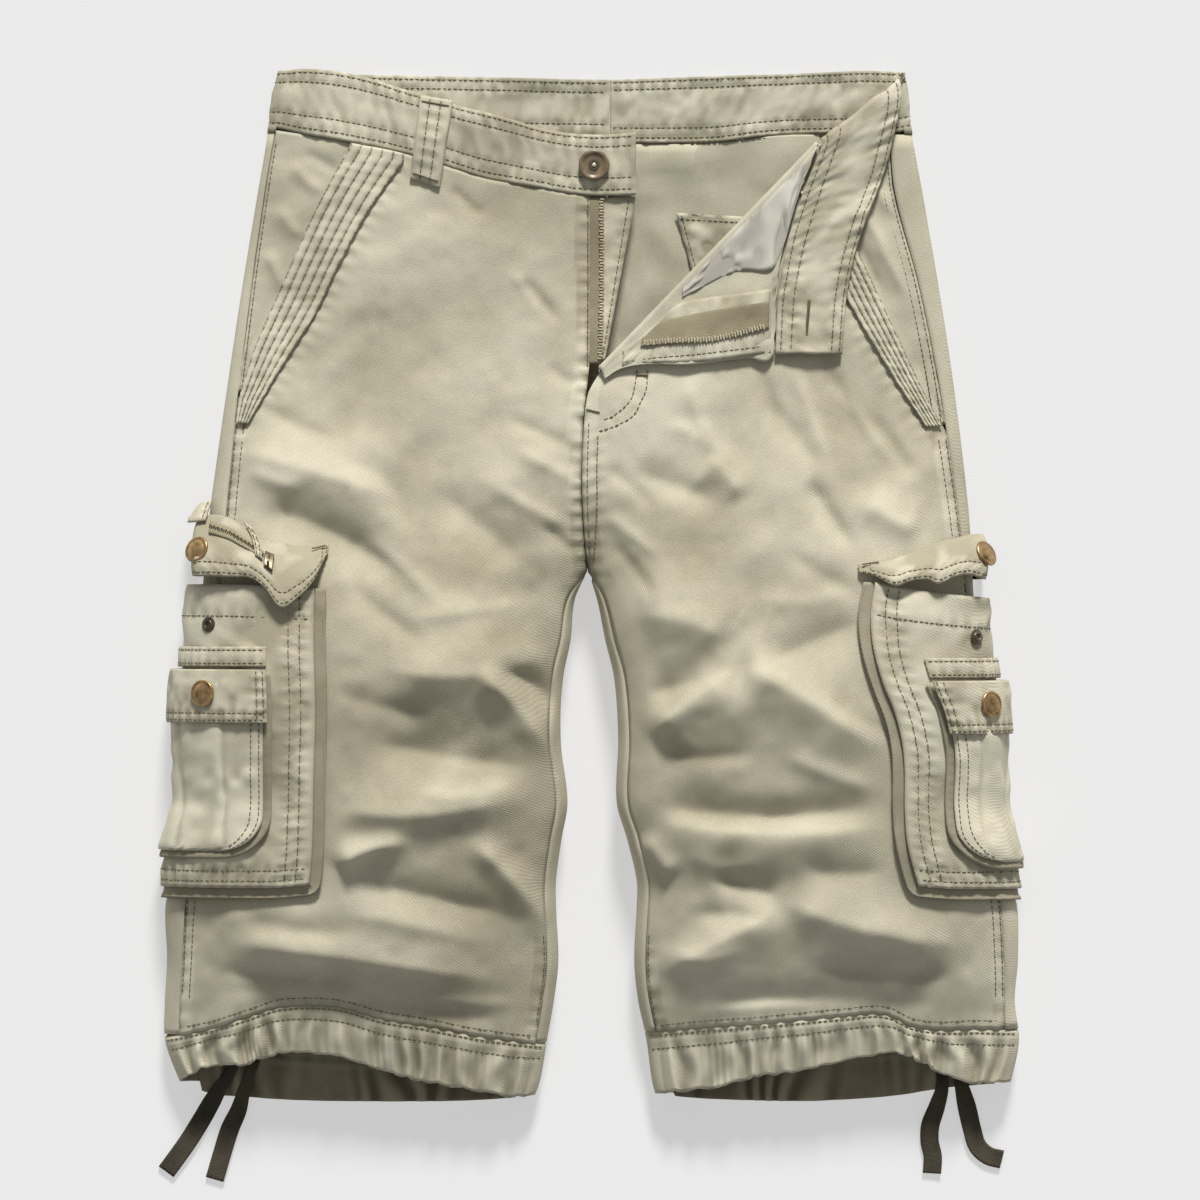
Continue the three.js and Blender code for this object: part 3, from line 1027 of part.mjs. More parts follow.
// The zip on the right cargo flap: its tape, slider and cloth pull, and the tab at the flap's upper edge
const ZIP_START = [7.1, 0.2];
const ZIP_END = [4.1, 0.35];
const ZIP_HALF = 0.1;
wall('flap_zip', ZIP_TAPE, [-1, 1].map(edge => steps(0, 1, 6).map(part => (
  onFlap(RIGHT, mix(ZIP_START[0], ZIP_END[0], part), mix(ZIP_START[1], ZIP_END[1], part) + edge * ZIP_HALF, 1.5 * LAY + BAG)))),
{ thick: BAG });
const SLIDER_OUT = { foot: 1.4, top: 3.8 };
wall('flap_slider', BRASS, steps(0.22, 0.5, 2).map(part => steps(3.4, 3.95, 2).map(station => (
  onFlap(RIGHT, station, part, SLIDER_OUT.top)))), { thick: SLIDER_OUT.top - SLIDER_OUT.foot });
const PULL = [[4.35, 0.4, 4], [4.45, 0.25, 4.2], [4.7, 0.05, 3.6], [5.1, -0.12, 3.2]];
wall('flap_pull', TWILL_INSIDE, PULL.map(([station, part, out]) => [-0.24, 0.24].map(half => (
  onFlap(RIGHT, station + half, part, out)))), { thick: 1.6 });
wall('flap_tab', TWILL, [-0.24, -0.08, 0.08].map((part, i) => [7.3, 7.9, 8.5].map(station => (
  onFlap(RIGHT, station, part, [0.8, 2.4, 3.4][i])))), { thick: FLAP_THICK });

// Drawstring tails of flat tape: x, down and height of the tape's middle, and its width's share
const TAILS = {
  tail_right_outer: [[-231, 641, 3.5, 0.55], [-235, 651, 3.5, 0.6], [-241.5, 661, 3.5, 0.75], [-247, 670, 3, 0.95],
    [-254.5, 683, 1.2, 1], [-264, 698, 1.1, 1], [-277, 716, 1.1, 1]],
  tail_right_inner: [[-219, 643, 3.5, 0.55], [-223, 654, 3.5, 0.55], [-226.5, 664, 3.5, 0.7], [-230, 676, 1.8, 0.9],
    [-235.5, 688, 1.2, 1], [-240, 702, 1.1, 1], [-245.5, 721, 1.1, 1]],
  tail_left_inner: [[224, 638, 3.5, 0.55], [226, 649, 3.5, 0.55], [227, 661, 3.5, 0.7], [223.5, 674, 1.8, 0.9],
    [219.5, 685.5, 1.2, 1], [219, 696, 1.1, 1], [221, 706, 1.1, 1], [220.5, 717, 1.1, 1]],
  tail_left_outer: [[236, 636, 3.5, 0.55], [237.5, 647, 3.5, 0.6], [239.5, 659, 3.5, 0.75], [243, 673, 1.6, 1],
    [246.5, 688, 1.2, 1], [250, 699, 1.1, 1], [257, 705.5, 1.1, 1], [266, 708, 1.1, 1]],
};
const TAIL_STEPS = 12;
for (const [name, spots] of Object.entries(TAILS)) {
  const curve = new THREE.CatmullRomCurve3(spots.map(([x, down, z]) => new THREE.Vector3(x, yOf(down), z)));
  const widthAt = through(spots.map((spot, i) => [i / (spots.length - 1), spot[3]]));
  wall(name, TAPE, steps(0, 1, TAIL_STEPS).map(part => {
    const middle = curve.getPoint(part);
    const run = curve.getTangent(part);
    const sideways = new THREE.Vector3(run.y, -run.x, 0).normalize().multiplyScalar(widthAt(part) * TAPE_WIDTH / 2);
    middle.z += TAPE_THICK / 2;
    return [middle.clone().sub(sideways), middle.clone().add(sideways)];
  }), { thick: TAPE_THICK });
}

export default garment;
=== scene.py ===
import json
import math

import bpy
import numpy as np
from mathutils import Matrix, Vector

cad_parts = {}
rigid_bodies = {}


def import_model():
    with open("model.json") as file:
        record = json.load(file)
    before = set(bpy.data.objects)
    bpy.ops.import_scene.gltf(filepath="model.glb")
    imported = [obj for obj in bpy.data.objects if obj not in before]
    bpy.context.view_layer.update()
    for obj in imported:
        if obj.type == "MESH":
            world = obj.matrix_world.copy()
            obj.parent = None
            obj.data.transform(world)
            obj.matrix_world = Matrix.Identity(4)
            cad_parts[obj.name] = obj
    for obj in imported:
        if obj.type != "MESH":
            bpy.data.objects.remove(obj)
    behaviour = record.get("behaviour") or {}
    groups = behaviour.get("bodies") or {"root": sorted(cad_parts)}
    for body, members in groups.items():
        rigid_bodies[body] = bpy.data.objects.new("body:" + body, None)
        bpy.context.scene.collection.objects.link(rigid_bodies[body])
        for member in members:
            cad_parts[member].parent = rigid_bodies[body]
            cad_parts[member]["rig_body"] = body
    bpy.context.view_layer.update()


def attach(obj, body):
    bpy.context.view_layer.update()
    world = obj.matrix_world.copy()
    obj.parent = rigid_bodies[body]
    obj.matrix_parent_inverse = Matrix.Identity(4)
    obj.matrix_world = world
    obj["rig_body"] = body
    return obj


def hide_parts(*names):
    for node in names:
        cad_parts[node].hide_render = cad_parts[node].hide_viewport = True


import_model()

MM = 0.001
LENGTH = 670.0
CLOTH = 1.2
SEAM = 0.3
RIGHT, LEFT = -1, 1
SIDES = ((RIGHT, "right"), (LEFT, "left"))
CROTCH = 326.5


def mix(a, b, t):
    return a + (b - a) * t


def ease(t):
    t = np.clip(t, 0, 1)
    return t * t * (3 - 2 * t)


def bell(gap, reach):
    return np.exp(-((gap / reach) ** 2))


def through(pairs):
    """A smooth curve through (place, value) pairs, level past its ends."""
    places, values = (np.array(part, float) for part in zip(*pairs))
    slopes = np.gradient(values)
    slopes[1:-1] = (values[2:] - values[:-2]) / (places[2:] - places[:-2])
    slopes[0] = (values[1] - values[0]) / (places[1] - places[0])
    slopes[-1] = (values[-1] - values[-2]) / (places[-1] - places[-2])

    def curve(at):
        at = np.clip(np.asarray(at, float), places[0], places[-1])
        i = np.clip(np.searchsorted(places, at) - 1, 0, len(places) - 2)
        span = places[i + 1] - places[i]
        t = (at - places[i]) / span
        rise = values[i + 1] - values[i]
        bend = (slopes[i] * (1 - t) - slopes[i + 1] * t) * span - rise * (1 - 2 * t)
        return values[i] + rise * t + bend * t * (1 - t)

    return curve


# down, outer right, inner right, inner left, outer left, height of the widest point, rise over it, squareness
BODY = (
    (0, -204.5, 203, -204.5, 203, 4, 6, 4),
    (20, -208.5, 205, -208, 205, 4.2, 7, 4),
    (40, -210.5, 207, -210, 207, 4.5, 7.5, 3.8),
    (85, -218, 205, -210, 215, 6, 9, 3.4),
    (150, -228.5, 182, -190, 226, 8, 13, 3),
    (215, -238, 118, -125, 235.5, 10, 20, 2.7),
    (280, -247, 31, -38, 243, 13, 29, 2.4),
    (306, -249.5, 7, -13.5, 245, 14.5, 32.5, 2.35),
    (326.5, -251.5, -3.5, -3, 246, 15.5, 35.5, 2.3),
    (345, -253, -11.5, 3, 247, 16, 37, 2.3),
    (370, -255, -14, 8, 249, 17.5, 39.5, 2.25),
    (396, -257, -19, 14, 252, 18.5, 41.5, 2.2),
    (435, -260, -20.5, 16.5, 256, 19, 42, 2.2),
    (475, -262, -16, 15.5, 260, 19, 42, 2.2),
    (500, -268, -20, 22.5, 265, 18.5, 41, 2.2),
    (526, -272.5, -23.5, 28.5, 270, 17.5, 39, 2.2),
    (543, -276.5, -23.5, 28.5, 275, 17, 37.5, 2.2),
    (578, -275.5, -22, 27, 275.5, 15, 32, 2.3),
    (604, -277, -25, 29.5, 273.5, 13.3, 27, 2.4),
    (630, -277, -29.5, 35, 276.5, 11.5, 21, 2.6),
    (656, -268, -34, 38.5, 271.5, 9.7, 16, 2.9),
    (670, -262, -39, 42, 268, 9, 14, 3),
)
body_curve = [through([(row[0], row[i]) for row in BODY]) for i in range(1, 8)]
OUTER = {RIGHT: body_curve[0], LEFT: body_curve[3]}
INNER = {RIGHT: body_curve[1], LEFT: body_curve[2]}
edge_height, rise_at, square_at = body_curve[4:]

SIDE_SEAM = {
    RIGHT: through([(39, -206), (76, -212), (125, -219), (157, -223), (194, -227.5), (225, -231), (280, -236),
                    (345, -241), (410, -246), (475, -252), (536, -262), (580, -265), (614, -267), (640, -267)]),
    LEFT: through([(40, 193), (80, 196), (138, 211), (188, 221.5), (230, 228.5), (299, 238), (345, 242),
                   (410, 248), (475, 253), (536, 263), (580, 266), (623, 267), (640, 267)]),
}
SLANT = {
    RIGHT: through([(48, -155), (97, -180), (134, -196.5), (184, -219), (200, -224.5), (215, -229.5)]),
    LEFT: through([(49, 146.5), (108, 168), (150, 187), (200, 210), (222, 221), (236, 229)]),
}
SLANT_END = {RIGHT: 215, LEFT: 236}
MIDDLE = {
    RIGHT: through([(80, -1.5), (180, -1.5), (196, -2), (209, -3.5), (234, -6), (273, -7), (309, -5),
                    (326.5, -3.3)]),
    LEFT: through([(190, 6.5), (196.5, 5), (203, 1), (212, -3.4), (234, -6), (273, -7), (309, -5),
                   (326.5, -3.3)]),
}
CENTRE_BACK = through([(40, 11), (120, 8), (240, 2), (326.5, -3.3)])
INSEAM_INSET = through([(CROTCH, 0), (345, 5), (400, 7), (640, 7)])
WAIST_SEAM = through([(-212, 38.5), (-184, 43), (-155, 48), (-122, 55), (-94, 63.5), (-68, 71.5), (-38, 76.5),
                      (-18, 80.5), (2, 82.5), (30, 82)])
WAIST_TOP = through([(-205, -0.5), (-184, 0), (-163, 2), (-142, 7), (-122, 13.5), (-107, 17.5), (-88, 24),
                     (-59, 31), (-38, 37.5), (-18, 41.5), (2, 43), (30, 41.5)])
BACK_TOP = through([(-205, 1), (-163, 3), (-60, 5), (9, 6.5), (70, 4.5), (135, 2.5), (187, 0.5), (204, 2)])
BACK_SEAM = through([(-212, 38.5), (-120, 44), (10, 47), (78, 47), (120, 42), (165, 41), (210, 39.5)])
CASING_TOP = {
    RIGHT: through([(-278, 628.5), (-246, 621.5), (-222, 613.5), (-200, 607), (-166, 607), (-135, 615), (-105, 620),
                    (-75, 626), (-30, 632.5)]),
    LEFT: through([(35, 624.5), (66, 621), (107, 618), (135, 615.5), (163, 613), (182, 611.5), (193, 613.5),
                   (206, 620), (225, 622.5), (247, 622), (278, 623.5)]),
}
HEM_FRONT = {
    RIGHT: through([(-270, 657), (-246, 645), (-228, 645), (-200, 637), (-166, 639), (-137, 648), (-114, 654.5),
                    (-85, 660), (-53, 666), (-36, 665)]),
    LEFT: through([(38, 664.5), (66, 661.5), (85, 658.5), (107, 652), (126, 650), (146, 646), (163, 642), (182, 638.5),
                   (193, 636.5), (206, 639.5), (215, 644), (228, 651.5), (241, 656.5), (272, 656.5)]),
}
HEM_BACK = {
    RIGHT: through([(-270, 657), (-246, 665.5), (-228, 667), (-200, 669), (-166, 670), (-95, 670), (-55, 668),
                    (-36, 665)]),
    LEFT: through([(38, 664.5), (61, 667.5), (88, 669), (135, 670), (172, 668.5), (200, 666), (228, 661.5),
                   (255, 659), (272, 656.5)]),
}

CREASE_FOOT = (5.0, 196.5)
CREASE_WAIST = (146.5, 49.5)
crease_across, crease_along = CREASE_WAIST[0] - CREASE_FOOT[0], CREASE_WAIST[1] - CREASE_FOOT[1]
crease_run = math.hypot(crease_across, crease_along)
CREASE_OUT = (crease_along / crease_run, -crease_across / crease_run)
TURN_GAP = 3.0


def crease_down(x):
    share = (np.asarray(x, float) - CREASE_FOOT[0]) / (CREASE_WAIST[0] - CREASE_FOOT[0])
    return mix(CREASE_FOOT[1], CREASE_WAIST[1], share)


# Large folds: x and down of three places on a bent line, reach above and below it, and rise
FOLDS = (
    (-232, 247, -180, 262, -118, 280, 24, 20, 6), (-216, 283, -165, 303, -108, 338, 14, 20, -7),
    (-170, 254, -132, 268, -118, 312, 12, 9, -3), (-106, 272, -70, 298, -38, 330, 17, 15, -4),
    (-140, 385, -82, 393, -22, 377, 38, 17, 9), (-76, 392, -50, 412, -20, 455, 10, 12, 7),
    (-72, 388, -38, 398, -20, 425, 9, 9, -6), (-150, 434, -95, 444, -34, 454, 20, 14, -6),
    (-168, 476, -106, 482, -34, 466, 18, 12, 6), (-165, 517, -145, 505, -112, 500, 8, 9, 6),
    (-82, 497, -52, 524, -26, 560, 9, 10, 6), (-158, 521, -110, 534, -40, 550, 10, 12, -4),
    (-244, 563, -160, 574, -42, 592, 24, 14, 7), (-240, 594, -160, 604, -46, 616, 12, 10, -3),
    (20, 262, 52, 270, 84, 284, 11, 11, -4), (72, 252, 86, 264, 98, 282, 9, 12, 4),
    (138, 266, 152, 288, 170, 318, 6, 7, -3.5), (168, 276, 192, 292, 214, 300, 14, 10, 4),
    (26, 356, 60, 358, 92, 376, 26, 16, 6), (34, 404, 62, 398, 92, 384, 12, 12, -5),
    (34, 434, 62, 410, 96, 387, 11, 26, 9), (94, 388, 132, 406, 194, 448, 14, 28, 9),
    (104, 388, 140, 372, 180, 356, 12, 12, -4), (34, 474, 110, 484, 194, 474, 12, 12, -6),
    (34, 486, 110, 494, 194, 489, 9, 20, 6), (30, 496, 42, 510, 52, 525, 8, 8, 4),
    (74, 526, 100, 528, 122, 536, 12, 10, -4), (36, 588, 84, 564, 124, 540, 12, 22, 6),
    (118, 534, 172, 556, 252, 568, 18, 18, 7), (50, 600, 150, 602, 232, 606, 14, 10, -3),
)
# Small creases of the same make, for the render alone
CREASES = (
    (174, 60, 184, 77, 196, 98, 4, 5, 1.5), (170, 84, 180, 102, 194, 124, 4, 5, 1.4),
    (182, 112, 194, 130, 205, 152, 4, 5, 1.2), (168, 108, 178, 126, 188, 150, 4, 4, -1.1),
    (108, 194, 116, 220, 120, 252, 5, 6, -1.3), (130, 194, 140, 224, 152, 258, 5, 6, 1.2),
    (150, 190, 162, 214, 178, 244, 5, 6, -1.2), (60, 200, 66, 222, 80, 244, 6, 6, 1.0),
    (-196, 58, -186, 72, -172, 82, 4, 5, 1.2), (-206, 88, -196, 102, -186, 111, 4, 5, 1.2),
    (-212, 118, -205, 132, -198, 148, 4, 4, 1.0), (-190, 54, -176, 60, -163, 70, 4, 4, -0.9),
    (-93, 76, -82, 86, -70, 98, 3, 5, -1.1), (-47, 136, -34, 150, -18, 169, 4, 6, -1.3),
    (-56, 130, -42, 146, -30, 166, 4, 4, 0.8), (-30, 190, -20, 200, -8, 206, 4, 4, -0.9),
    (-60, 226, -34, 236, -10, 250, 6, 5, -1.2), (-52, 246, -30, 258, -10, 268, 5, 5, 1.1),
    (-70, 268, -40, 285, -12, 300, 5, 6, 1.2), (-34, 296, -20, 306, -8, 318, 4, 4, -1.3),
    (6, 258, 24, 270, 44, 290, 5, 5, -1.2), (4, 288, 22, 300, 48, 322, 5, 5, 1.3),
    (10, 306, 26, 322, 40, 345, 4, 5, -1.3), (40, 230, 70, 240, 96, 262, 7, 7, 1.1),
    (110, 214, 130, 236, 146, 262, 6, 6, -1.2), (150, 206, 176, 232, 196, 262, 5, 6, 1.1),
    (176, 220, 194, 244, 212, 268, 4, 5, -1.1), (-214, 216, -190, 232, -160, 240, 6, 6, -1.2),
    (-226, 256, -206, 268, -184, 272, 5, 5, 1.0), (-150, 300, -120, 326, -96, 352, 7, 7, 1.6),
    (-160, 330, -130, 356, -104, 372, 6, 8, -1.4), (-120, 356, -80, 352, -40, 344, 8, 6, 1.2),
    (-166, 404, -130, 414, -96, 420, 8, 8, -1.5), (-120, 466, -80, 470, -44, 460, 6, 6, 1.2),
    (-170, 546, -120, 552, -70, 566, 8, 8, 1.4), (-230, 548, -190, 556, -150, 558, 7, 7, -1.4),
    (-250, 580, -200, 588, -140, 590, 5, 5, -1.0), (-120, 596, -80, 604, -50, 604, 5, 5, 1.0),
    (44, 440, 70, 446, 110, 440, 6, 6, -1.4), (120, 440, 150, 456, 186, 466, 7, 6, 1.4),
    (150, 402, 170, 420, 196, 430, 6, 6, -1.2), (60, 508, 84, 516, 110, 510, 6, 6, 1.2),
    (130, 512, 160, 520, 190, 516, 7, 7, -1.4), (60, 548, 90, 546, 116, 552, 6, 6, -1.2),
    (140, 580, 180, 586, 240, 586, 7, 6, -1.5), (50, 570, 70, 576, 100, 566, 5, 6, 1.1),
    (100, 340, 136, 346, 170, 334, 8, 8, 1.2), (120, 310, 150, 330, 176, 344, 6, 6, -1.1),
    (-238, 604, -180, 598, -120, 610, 4, 4, 0.8), (60, 612, 120, 606, 200, 604, 4, 4, 0.8),
)
FOLD_STEPS = 8
FOLD_TAPER = 0.3


def bent_lines(table):
    lines = []
    for x1, down1, x2, down2, x3, down3, above, below, rise in table:
        t = np.linspace(0, 1, FOLD_STEPS + 1)
        first, second, third = (1 - t) * (1 - 2 * t), 4 * t * (1 - t), t * (2 * t - 1)
        xs = x1 * first + x2 * second + x3 * third
        downs = down1 * first + down2 * second + down3 * third
        lines.append((xs, downs, above, below, rise))
    return lines


fold_lines = bent_lines(FOLDS)
crease_lines = bent_lines(CREASES)


def nearest_on(xs, downs, x, down):
    """Gap to a bent line, the side of it and the share of the way along it."""
    run_x, run_down = np.diff(xs), np.diff(downs)
    from_x, from_down = x[..., None] - xs[:-1], down[..., None] - downs[:-1]
    t = np.clip((from_x * run_x + from_down * run_down) / (run_x**2 + run_down**2), 0, 1)
    gap_x, gap_down = from_x - run_x * t, from_down - run_down * t
    gap = np.hypot(gap_x, gap_down)
    i = gap.argmin(-1)[..., None]
    take = lambda a: np.take_along_axis(a, i, -1)[..., 0]
    above = take(gap_x * run_down - gap_down * run_x) > 0
    return take(gap), above, take(t) + i[..., 0]


def ridge(gap, reach):
    """A fold's profile with a crisper crest than a bell's."""
    crest = np.exp(-(np.sqrt(gap**2 + 2.25) - 1.5) / (0.62 * reach))
    return 0.55 * bell(gap, reach) + 0.45 * crest


def bent_rise(lines, x, down, profile=bell):
    total = np.zeros(np.shape(x))
    for xs, downs, above, below, rise in lines:
        near = (np.abs(x - xs.mean()) < 150) & (np.abs(down - downs.mean()) < 130)
        if not near.any():
            continue
        gap, is_above, place = nearest_on(xs, downs, x[near], down[near])
        at = place / FOLD_STEPS
        taper = ease(at / FOLD_TAPER) * ease((1 - at) / FOLD_TAPER)
        total[near] += rise * taper * profile(gap, np.where(is_above, above, below))
    return total


def dome(side, x, down):
    across = (x - INNER[side](down)) / (OUTER[side](down) - INNER[side](down))
    reach = np.clip(np.abs(2 * across - 1), 0, 1)
    square = square_at(down)
    return (1 - reach**square) ** (1 / square)


def crown(x, down):
    right, left = dome(RIGHT, x, down), dome(LEFT, x, down)
    both = (right + left + np.hypot(right - left, 1.5 / rise_at(down))) / 2
    high = np.maximum(right, left)
    return np.where(down < CROTCH, mix(both, high, ease((down - 290) / 36)), high)


def height(x, down):
    x, down = np.broadcast_arrays(np.asarray(x, float), np.asarray(down, float))
    top = crown(x, down)
    return edge_height(down) + rise_at(down) * top + bent_rise(fold_lines, x, down) * ease(top * 1.3)


NOISE_CELLS = 61


def noise(x, y, size, seed):
    """Smooth random bumps of about one, each of the given size."""
    table = np.random.default_rng(seed).standard_normal((NOISE_CELLS, NOISE_CELLS))
    u, v = np.asarray(x) / size + 1000.37 * seed, np.asarray(y) / size + 517.11 * seed
    i, j = np.floor(u).astype(int), np.floor(v).astype(int)
    s, t = ease(u - i), ease(v - j)
    i0, i1 = i % NOISE_CELLS, (i + 1) % NOISE_CELLS
    j0, j1 = j % NOISE_CELLS, (j + 1) % NOISE_CELLS
    return mix(mix(table[i0, j0], table[i1, j0], s), mix(table[i0, j1], table[i1, j1], s), t)


def crinkle(x, y, seed):
    """Washed cloth: soft unevenness in three sizes."""
    large = 0.9 * noise(x, y, 46, seed)
    middle = 0.66 * noise(x + 0.4 * y, y, 20, seed + 1)
    small = 0.18 * noise(x, y, 8, seed + 2)
    return large + middle + small


def soft_height(x, down):
    """The height with the small creases and the cloth's unevenness."""
    x, down = np.broadcast_arrays(np.asarray(x, float), np.asarray(down, float))
    top = crown(x, down)
    lift = 1.4 * bent_rise(fold_lines, x, down, ridge) + 1.8 * bent_rise(crease_lines, x, down, ridge)
    beside_pocket = ease((np.abs(x) - 158) / 10) * ease((down - 290) / 12) * ease((548 - down) / 12)
    lift = lift + crinkle(x, down, 3) * (1 - 0.7 * beside_pocket)
    return edge_height(down) + rise_at(down) * top + lift * ease(top * 1.3)


def floor_height(side, x, down):
    depth = np.abs(OUTER[side](down)) - np.abs(x)
    return 3.6 * ease((165 - depth) / 30) * ease((down - 262) / 18) * ease((580 - down) / 18)


# The side of each leg as a map by "down" and "along": over the top where positive, under where negative
EDGE_REACH = 1.3
UNDER_REACH = 120.0
DOWN_STEP = 3.0
ALONGS = np.arange(-UNDER_REACH, 160.5, 1.0)
DOWNS = np.arange(0.0, LENGTH + 1, DOWN_STEP)
side_maps = {}
for map_side in (RIGHT, LEFT):
    outer_x, inner_x = OUTER[map_side](DOWNS), INNER[map_side](DOWNS)
    middle_x, edge_z = (outer_x + inner_x) / 2, edge_height(DOWNS)
    turn = np.linspace(0, math.pi / 2, 71)
    over_x = middle_x[:, None] + (outer_x - middle_x)[:, None] * np.cos(turn) ** (2 / square_at(DOWNS)[:, None])
    over_z = height(over_x, DOWNS[:, None] + 0 * over_x)
    over_x[:, 0], over_z[:, 0] = outer_x, edge_z
    turn = np.linspace(0, math.pi / 2, 17)
    floor_at = floor_height(map_side, outer_x, DOWNS)
    under_x = outer_x[:, None] - map_side * edge_z[:, None] * EDGE_REACH * (1 - np.cos(turn))
    under_z = edge_z[:, None] - (edge_z - floor_at)[:, None] * np.sin(turn)
    map_x, map_z = np.zeros((len(DOWNS), len(ALONGS))), np.zeros((len(DOWNS), len(ALONGS)))
    round_length = np.zeros(len(DOWNS))
    for k in range(len(DOWNS)):
        over = np.concatenate([[0], np.cumsum(np.hypot(np.diff(over_x[k]), np.diff(over_z[k])))])
        under = np.concatenate([[0], np.cumsum(np.hypot(np.diff(under_x[k]), np.diff(under_z[k])))])
        round_length[k] = under[-1]
        far_x = under_x[k, -1] - map_side * UNDER_REACH
        path = np.concatenate([[-under[-1] - UNDER_REACH], -under[::-1], over[1:]])
        map_x[k] = np.interp(ALONGS, path, np.concatenate([[far_x], under_x[k, ::-1], over_x[k, 1:]]))
        map_z[k] = np.interp(ALONGS, path, np.concatenate([[floor_at[k]], under_z[k, ::-1], over_z[k, 1:]]))
        flat = ALONGS < -under[-1]
        map_z[k, flat] = floor_height(map_side, map_x[k, flat], DOWNS[k])
    run_x, run_z = np.gradient(map_x, axis=1), np.gradient(map_z, axis=1)
    run = np.maximum(np.hypot(run_x, run_z), 1e-9)
    side_maps[map_side] = (map_x, map_z, map_side * run_z / run, -map_side * run_x / run, round_length)


def on_map(side, down, along):
    i = np.clip(np.asarray(down, float) / DOWN_STEP, 0, len(DOWNS) - 1.001)
    j = np.clip((np.asarray(along, float) - ALONGS[0]), 0, len(ALONGS) - 1.001)
    i0, j0 = np.floor(i).astype(int), np.floor(j).astype(int)
    s, t = i - i0, j - j0
    return [mix(mix(m[i0, j0], m[i0 + 1, j0], s), mix(m[i0, j0 + 1], m[i0 + 1, j0 + 1], s), t)
            for m in side_maps[side][:4]]


def around(side, down, along, out=0.0):
    down, along, out = np.broadcast_arrays(*(np.asarray(v, float) for v in (down, along, out)))
    x, z, normal_x, normal_z = on_map(side, down, along)
    length = np.hypot(normal_x, normal_z)
    spot_z = np.maximum(z + normal_z / length * out, 0)
    return np.stack([x + normal_x / length * out, LENGTH / 2 - down, spot_z], -1)


TRY_STEP = 0.5


def along_at(side, down, x, out):
    """The distance along the map of the outermost place that reaches x."""
    tries = np.arange(-4.0, 150.0, TRY_STEP)
    down, x, out = np.broadcast_arrays(*(np.asarray(v, float) for v in (down, x, out)))
    spots = around(side, down[..., None], tries, out[..., None])[..., 0]
    beyond = side * (spots - x[..., None]) > 0
    last = np.where(beyond.any(-1), beyond.shape[-1] - 1 - beyond[..., ::-1].argmax(-1), 0)
    first_in = np.clip(last + 1, 1, len(tries) - 1)
    a = np.take_along_axis(spots, (first_in - 1)[..., None], -1)[..., 0]
    b = np.take_along_axis(spots, first_in[..., None], -1)[..., 0]
    t = np.clip((x - a) / np.where(np.abs(b - a) < 1e-6, 1e-6, b - a), 0, 1)
    return tries[first_in - 1] + t * TRY_STEP


def top_spot(x, down, out):
    """Places on the fronts' outer face or above it, with its creases."""
    z = soft_height(x, down) + out
    return np.stack([x + 0 * z, LENGTH / 2 - down + 0 * z, z], -1)


# Seams are read off the picture: the size of its points, and those of the middle and the waist's top
POINT_SIZE = 0.65
MIDDLE_POINT = 592.5
WAIST_POINT = 70


def placed(line):
    """Places read off the picture, as x and down."""
    spots = np.array(line, float)
    return (spots[:, 0] - MIDDLE_POINT) * POINT_SIZE, (spots[:, 1] - WAIST_POINT) * POINT_SIZE


# Seams that draw the fronts in: their line, the groove's depth and the pucker's height
FRONT_SEAMS = {
    RIGHT: (
        ([(588, 190), (588, 250), (588, 310), (587, 370), (586, 420)], 0.5, 0.85),
        ([(587, 420), (584, 455), (583, 500), (586, 560)], 0.5, 0.7),
        ([(354, 145), (316, 219), (290, 276), (255, 353), (249, 375)], 0.5, 0.6),
        ([(405, 158), (373, 209), (341, 270), (316, 321), (278, 381), (242, 435)], 0.5, 0.7),
    ),
    LEFT: (
        ([(637, 369), (634, 390), (630, 402), (614, 417), (602, 422)], 0.35, 0.3),
        ([(647, 369), (646, 390), (641, 402), (633, 417), (614, 428), (598, 433)], 0.35, 0.3),
        ([(596, 433), (596, 460), (597, 500), (592, 560)], 0.5, 0.4),
        ([(847, 303), (870, 350), (900, 396), (928, 440)], 0.5, 0.6),
    ),
}


SEAM_REACH = 22


def seam_relief(side, x, down):
    total = np.zeros(np.shape(x))
    for k, (line, groove, pucker) in enumerate(FRONT_SEAMS[side]):
        xs, downs = placed(line)
        run = np.hypot(np.diff(xs), np.diff(downs))
        near = (x > xs.min() - SEAM_REACH) & (x < xs.max() + SEAM_REACH)
        near = near & (down > downs.min() - SEAM_REACH) & (down < downs.max() + SEAM_REACH)
        if not near.any():
            continue
        gap, _, place = nearest_on(xs, downs, x[near], down[near])
        along = np.interp(place, np.arange(len(xs)), np.concatenate([[0], np.cumsum(run)]))
        wave = np.sin(along / 9.5 * 2 * math.pi + 2.5 * noise(along, 0 * along, 30, 40 + k))
        total[near] += -groove * bell(gap, 1.5) + pucker * wave * bell(gap, 6.5)
    return total


# Grids of points: finer ones from coarse ones, and the way their faces look
def sampled(values, places, at):
    values, places, at = np.asarray(values, float), np.asarray(places, float), np.asarray(at, float)
    level = (-1,) + (1,) * (values.ndim - 1)
    slopes = np.empty_like(values)
    slopes[1:-1] = (values[2:] - values[:-2]) / (places[2:] - places[:-2]).reshape(level)
    slopes[0] = (values[1] - values[0]) / (places[1] - places[0])
    slopes[-1] = (values[-1] - values[-2]) / (places[-1] - places[-2])
    i = np.clip(np.searchsorted(places, at, side="right") - 1, 0, len(places) - 2)
    span = (places[i + 1] - places[i]).reshape(level)
    t = ((at - places[i]) / (places[i + 1] - places[i])).reshape(level)
    rise = values[i + 1] - values[i]
    bend = (slopes[i] * (1 - t) - slopes[i + 1] * t) * span - rise * (1 - 2 * t)
    return values[i] + rise * t + bend * t * (1 - t)


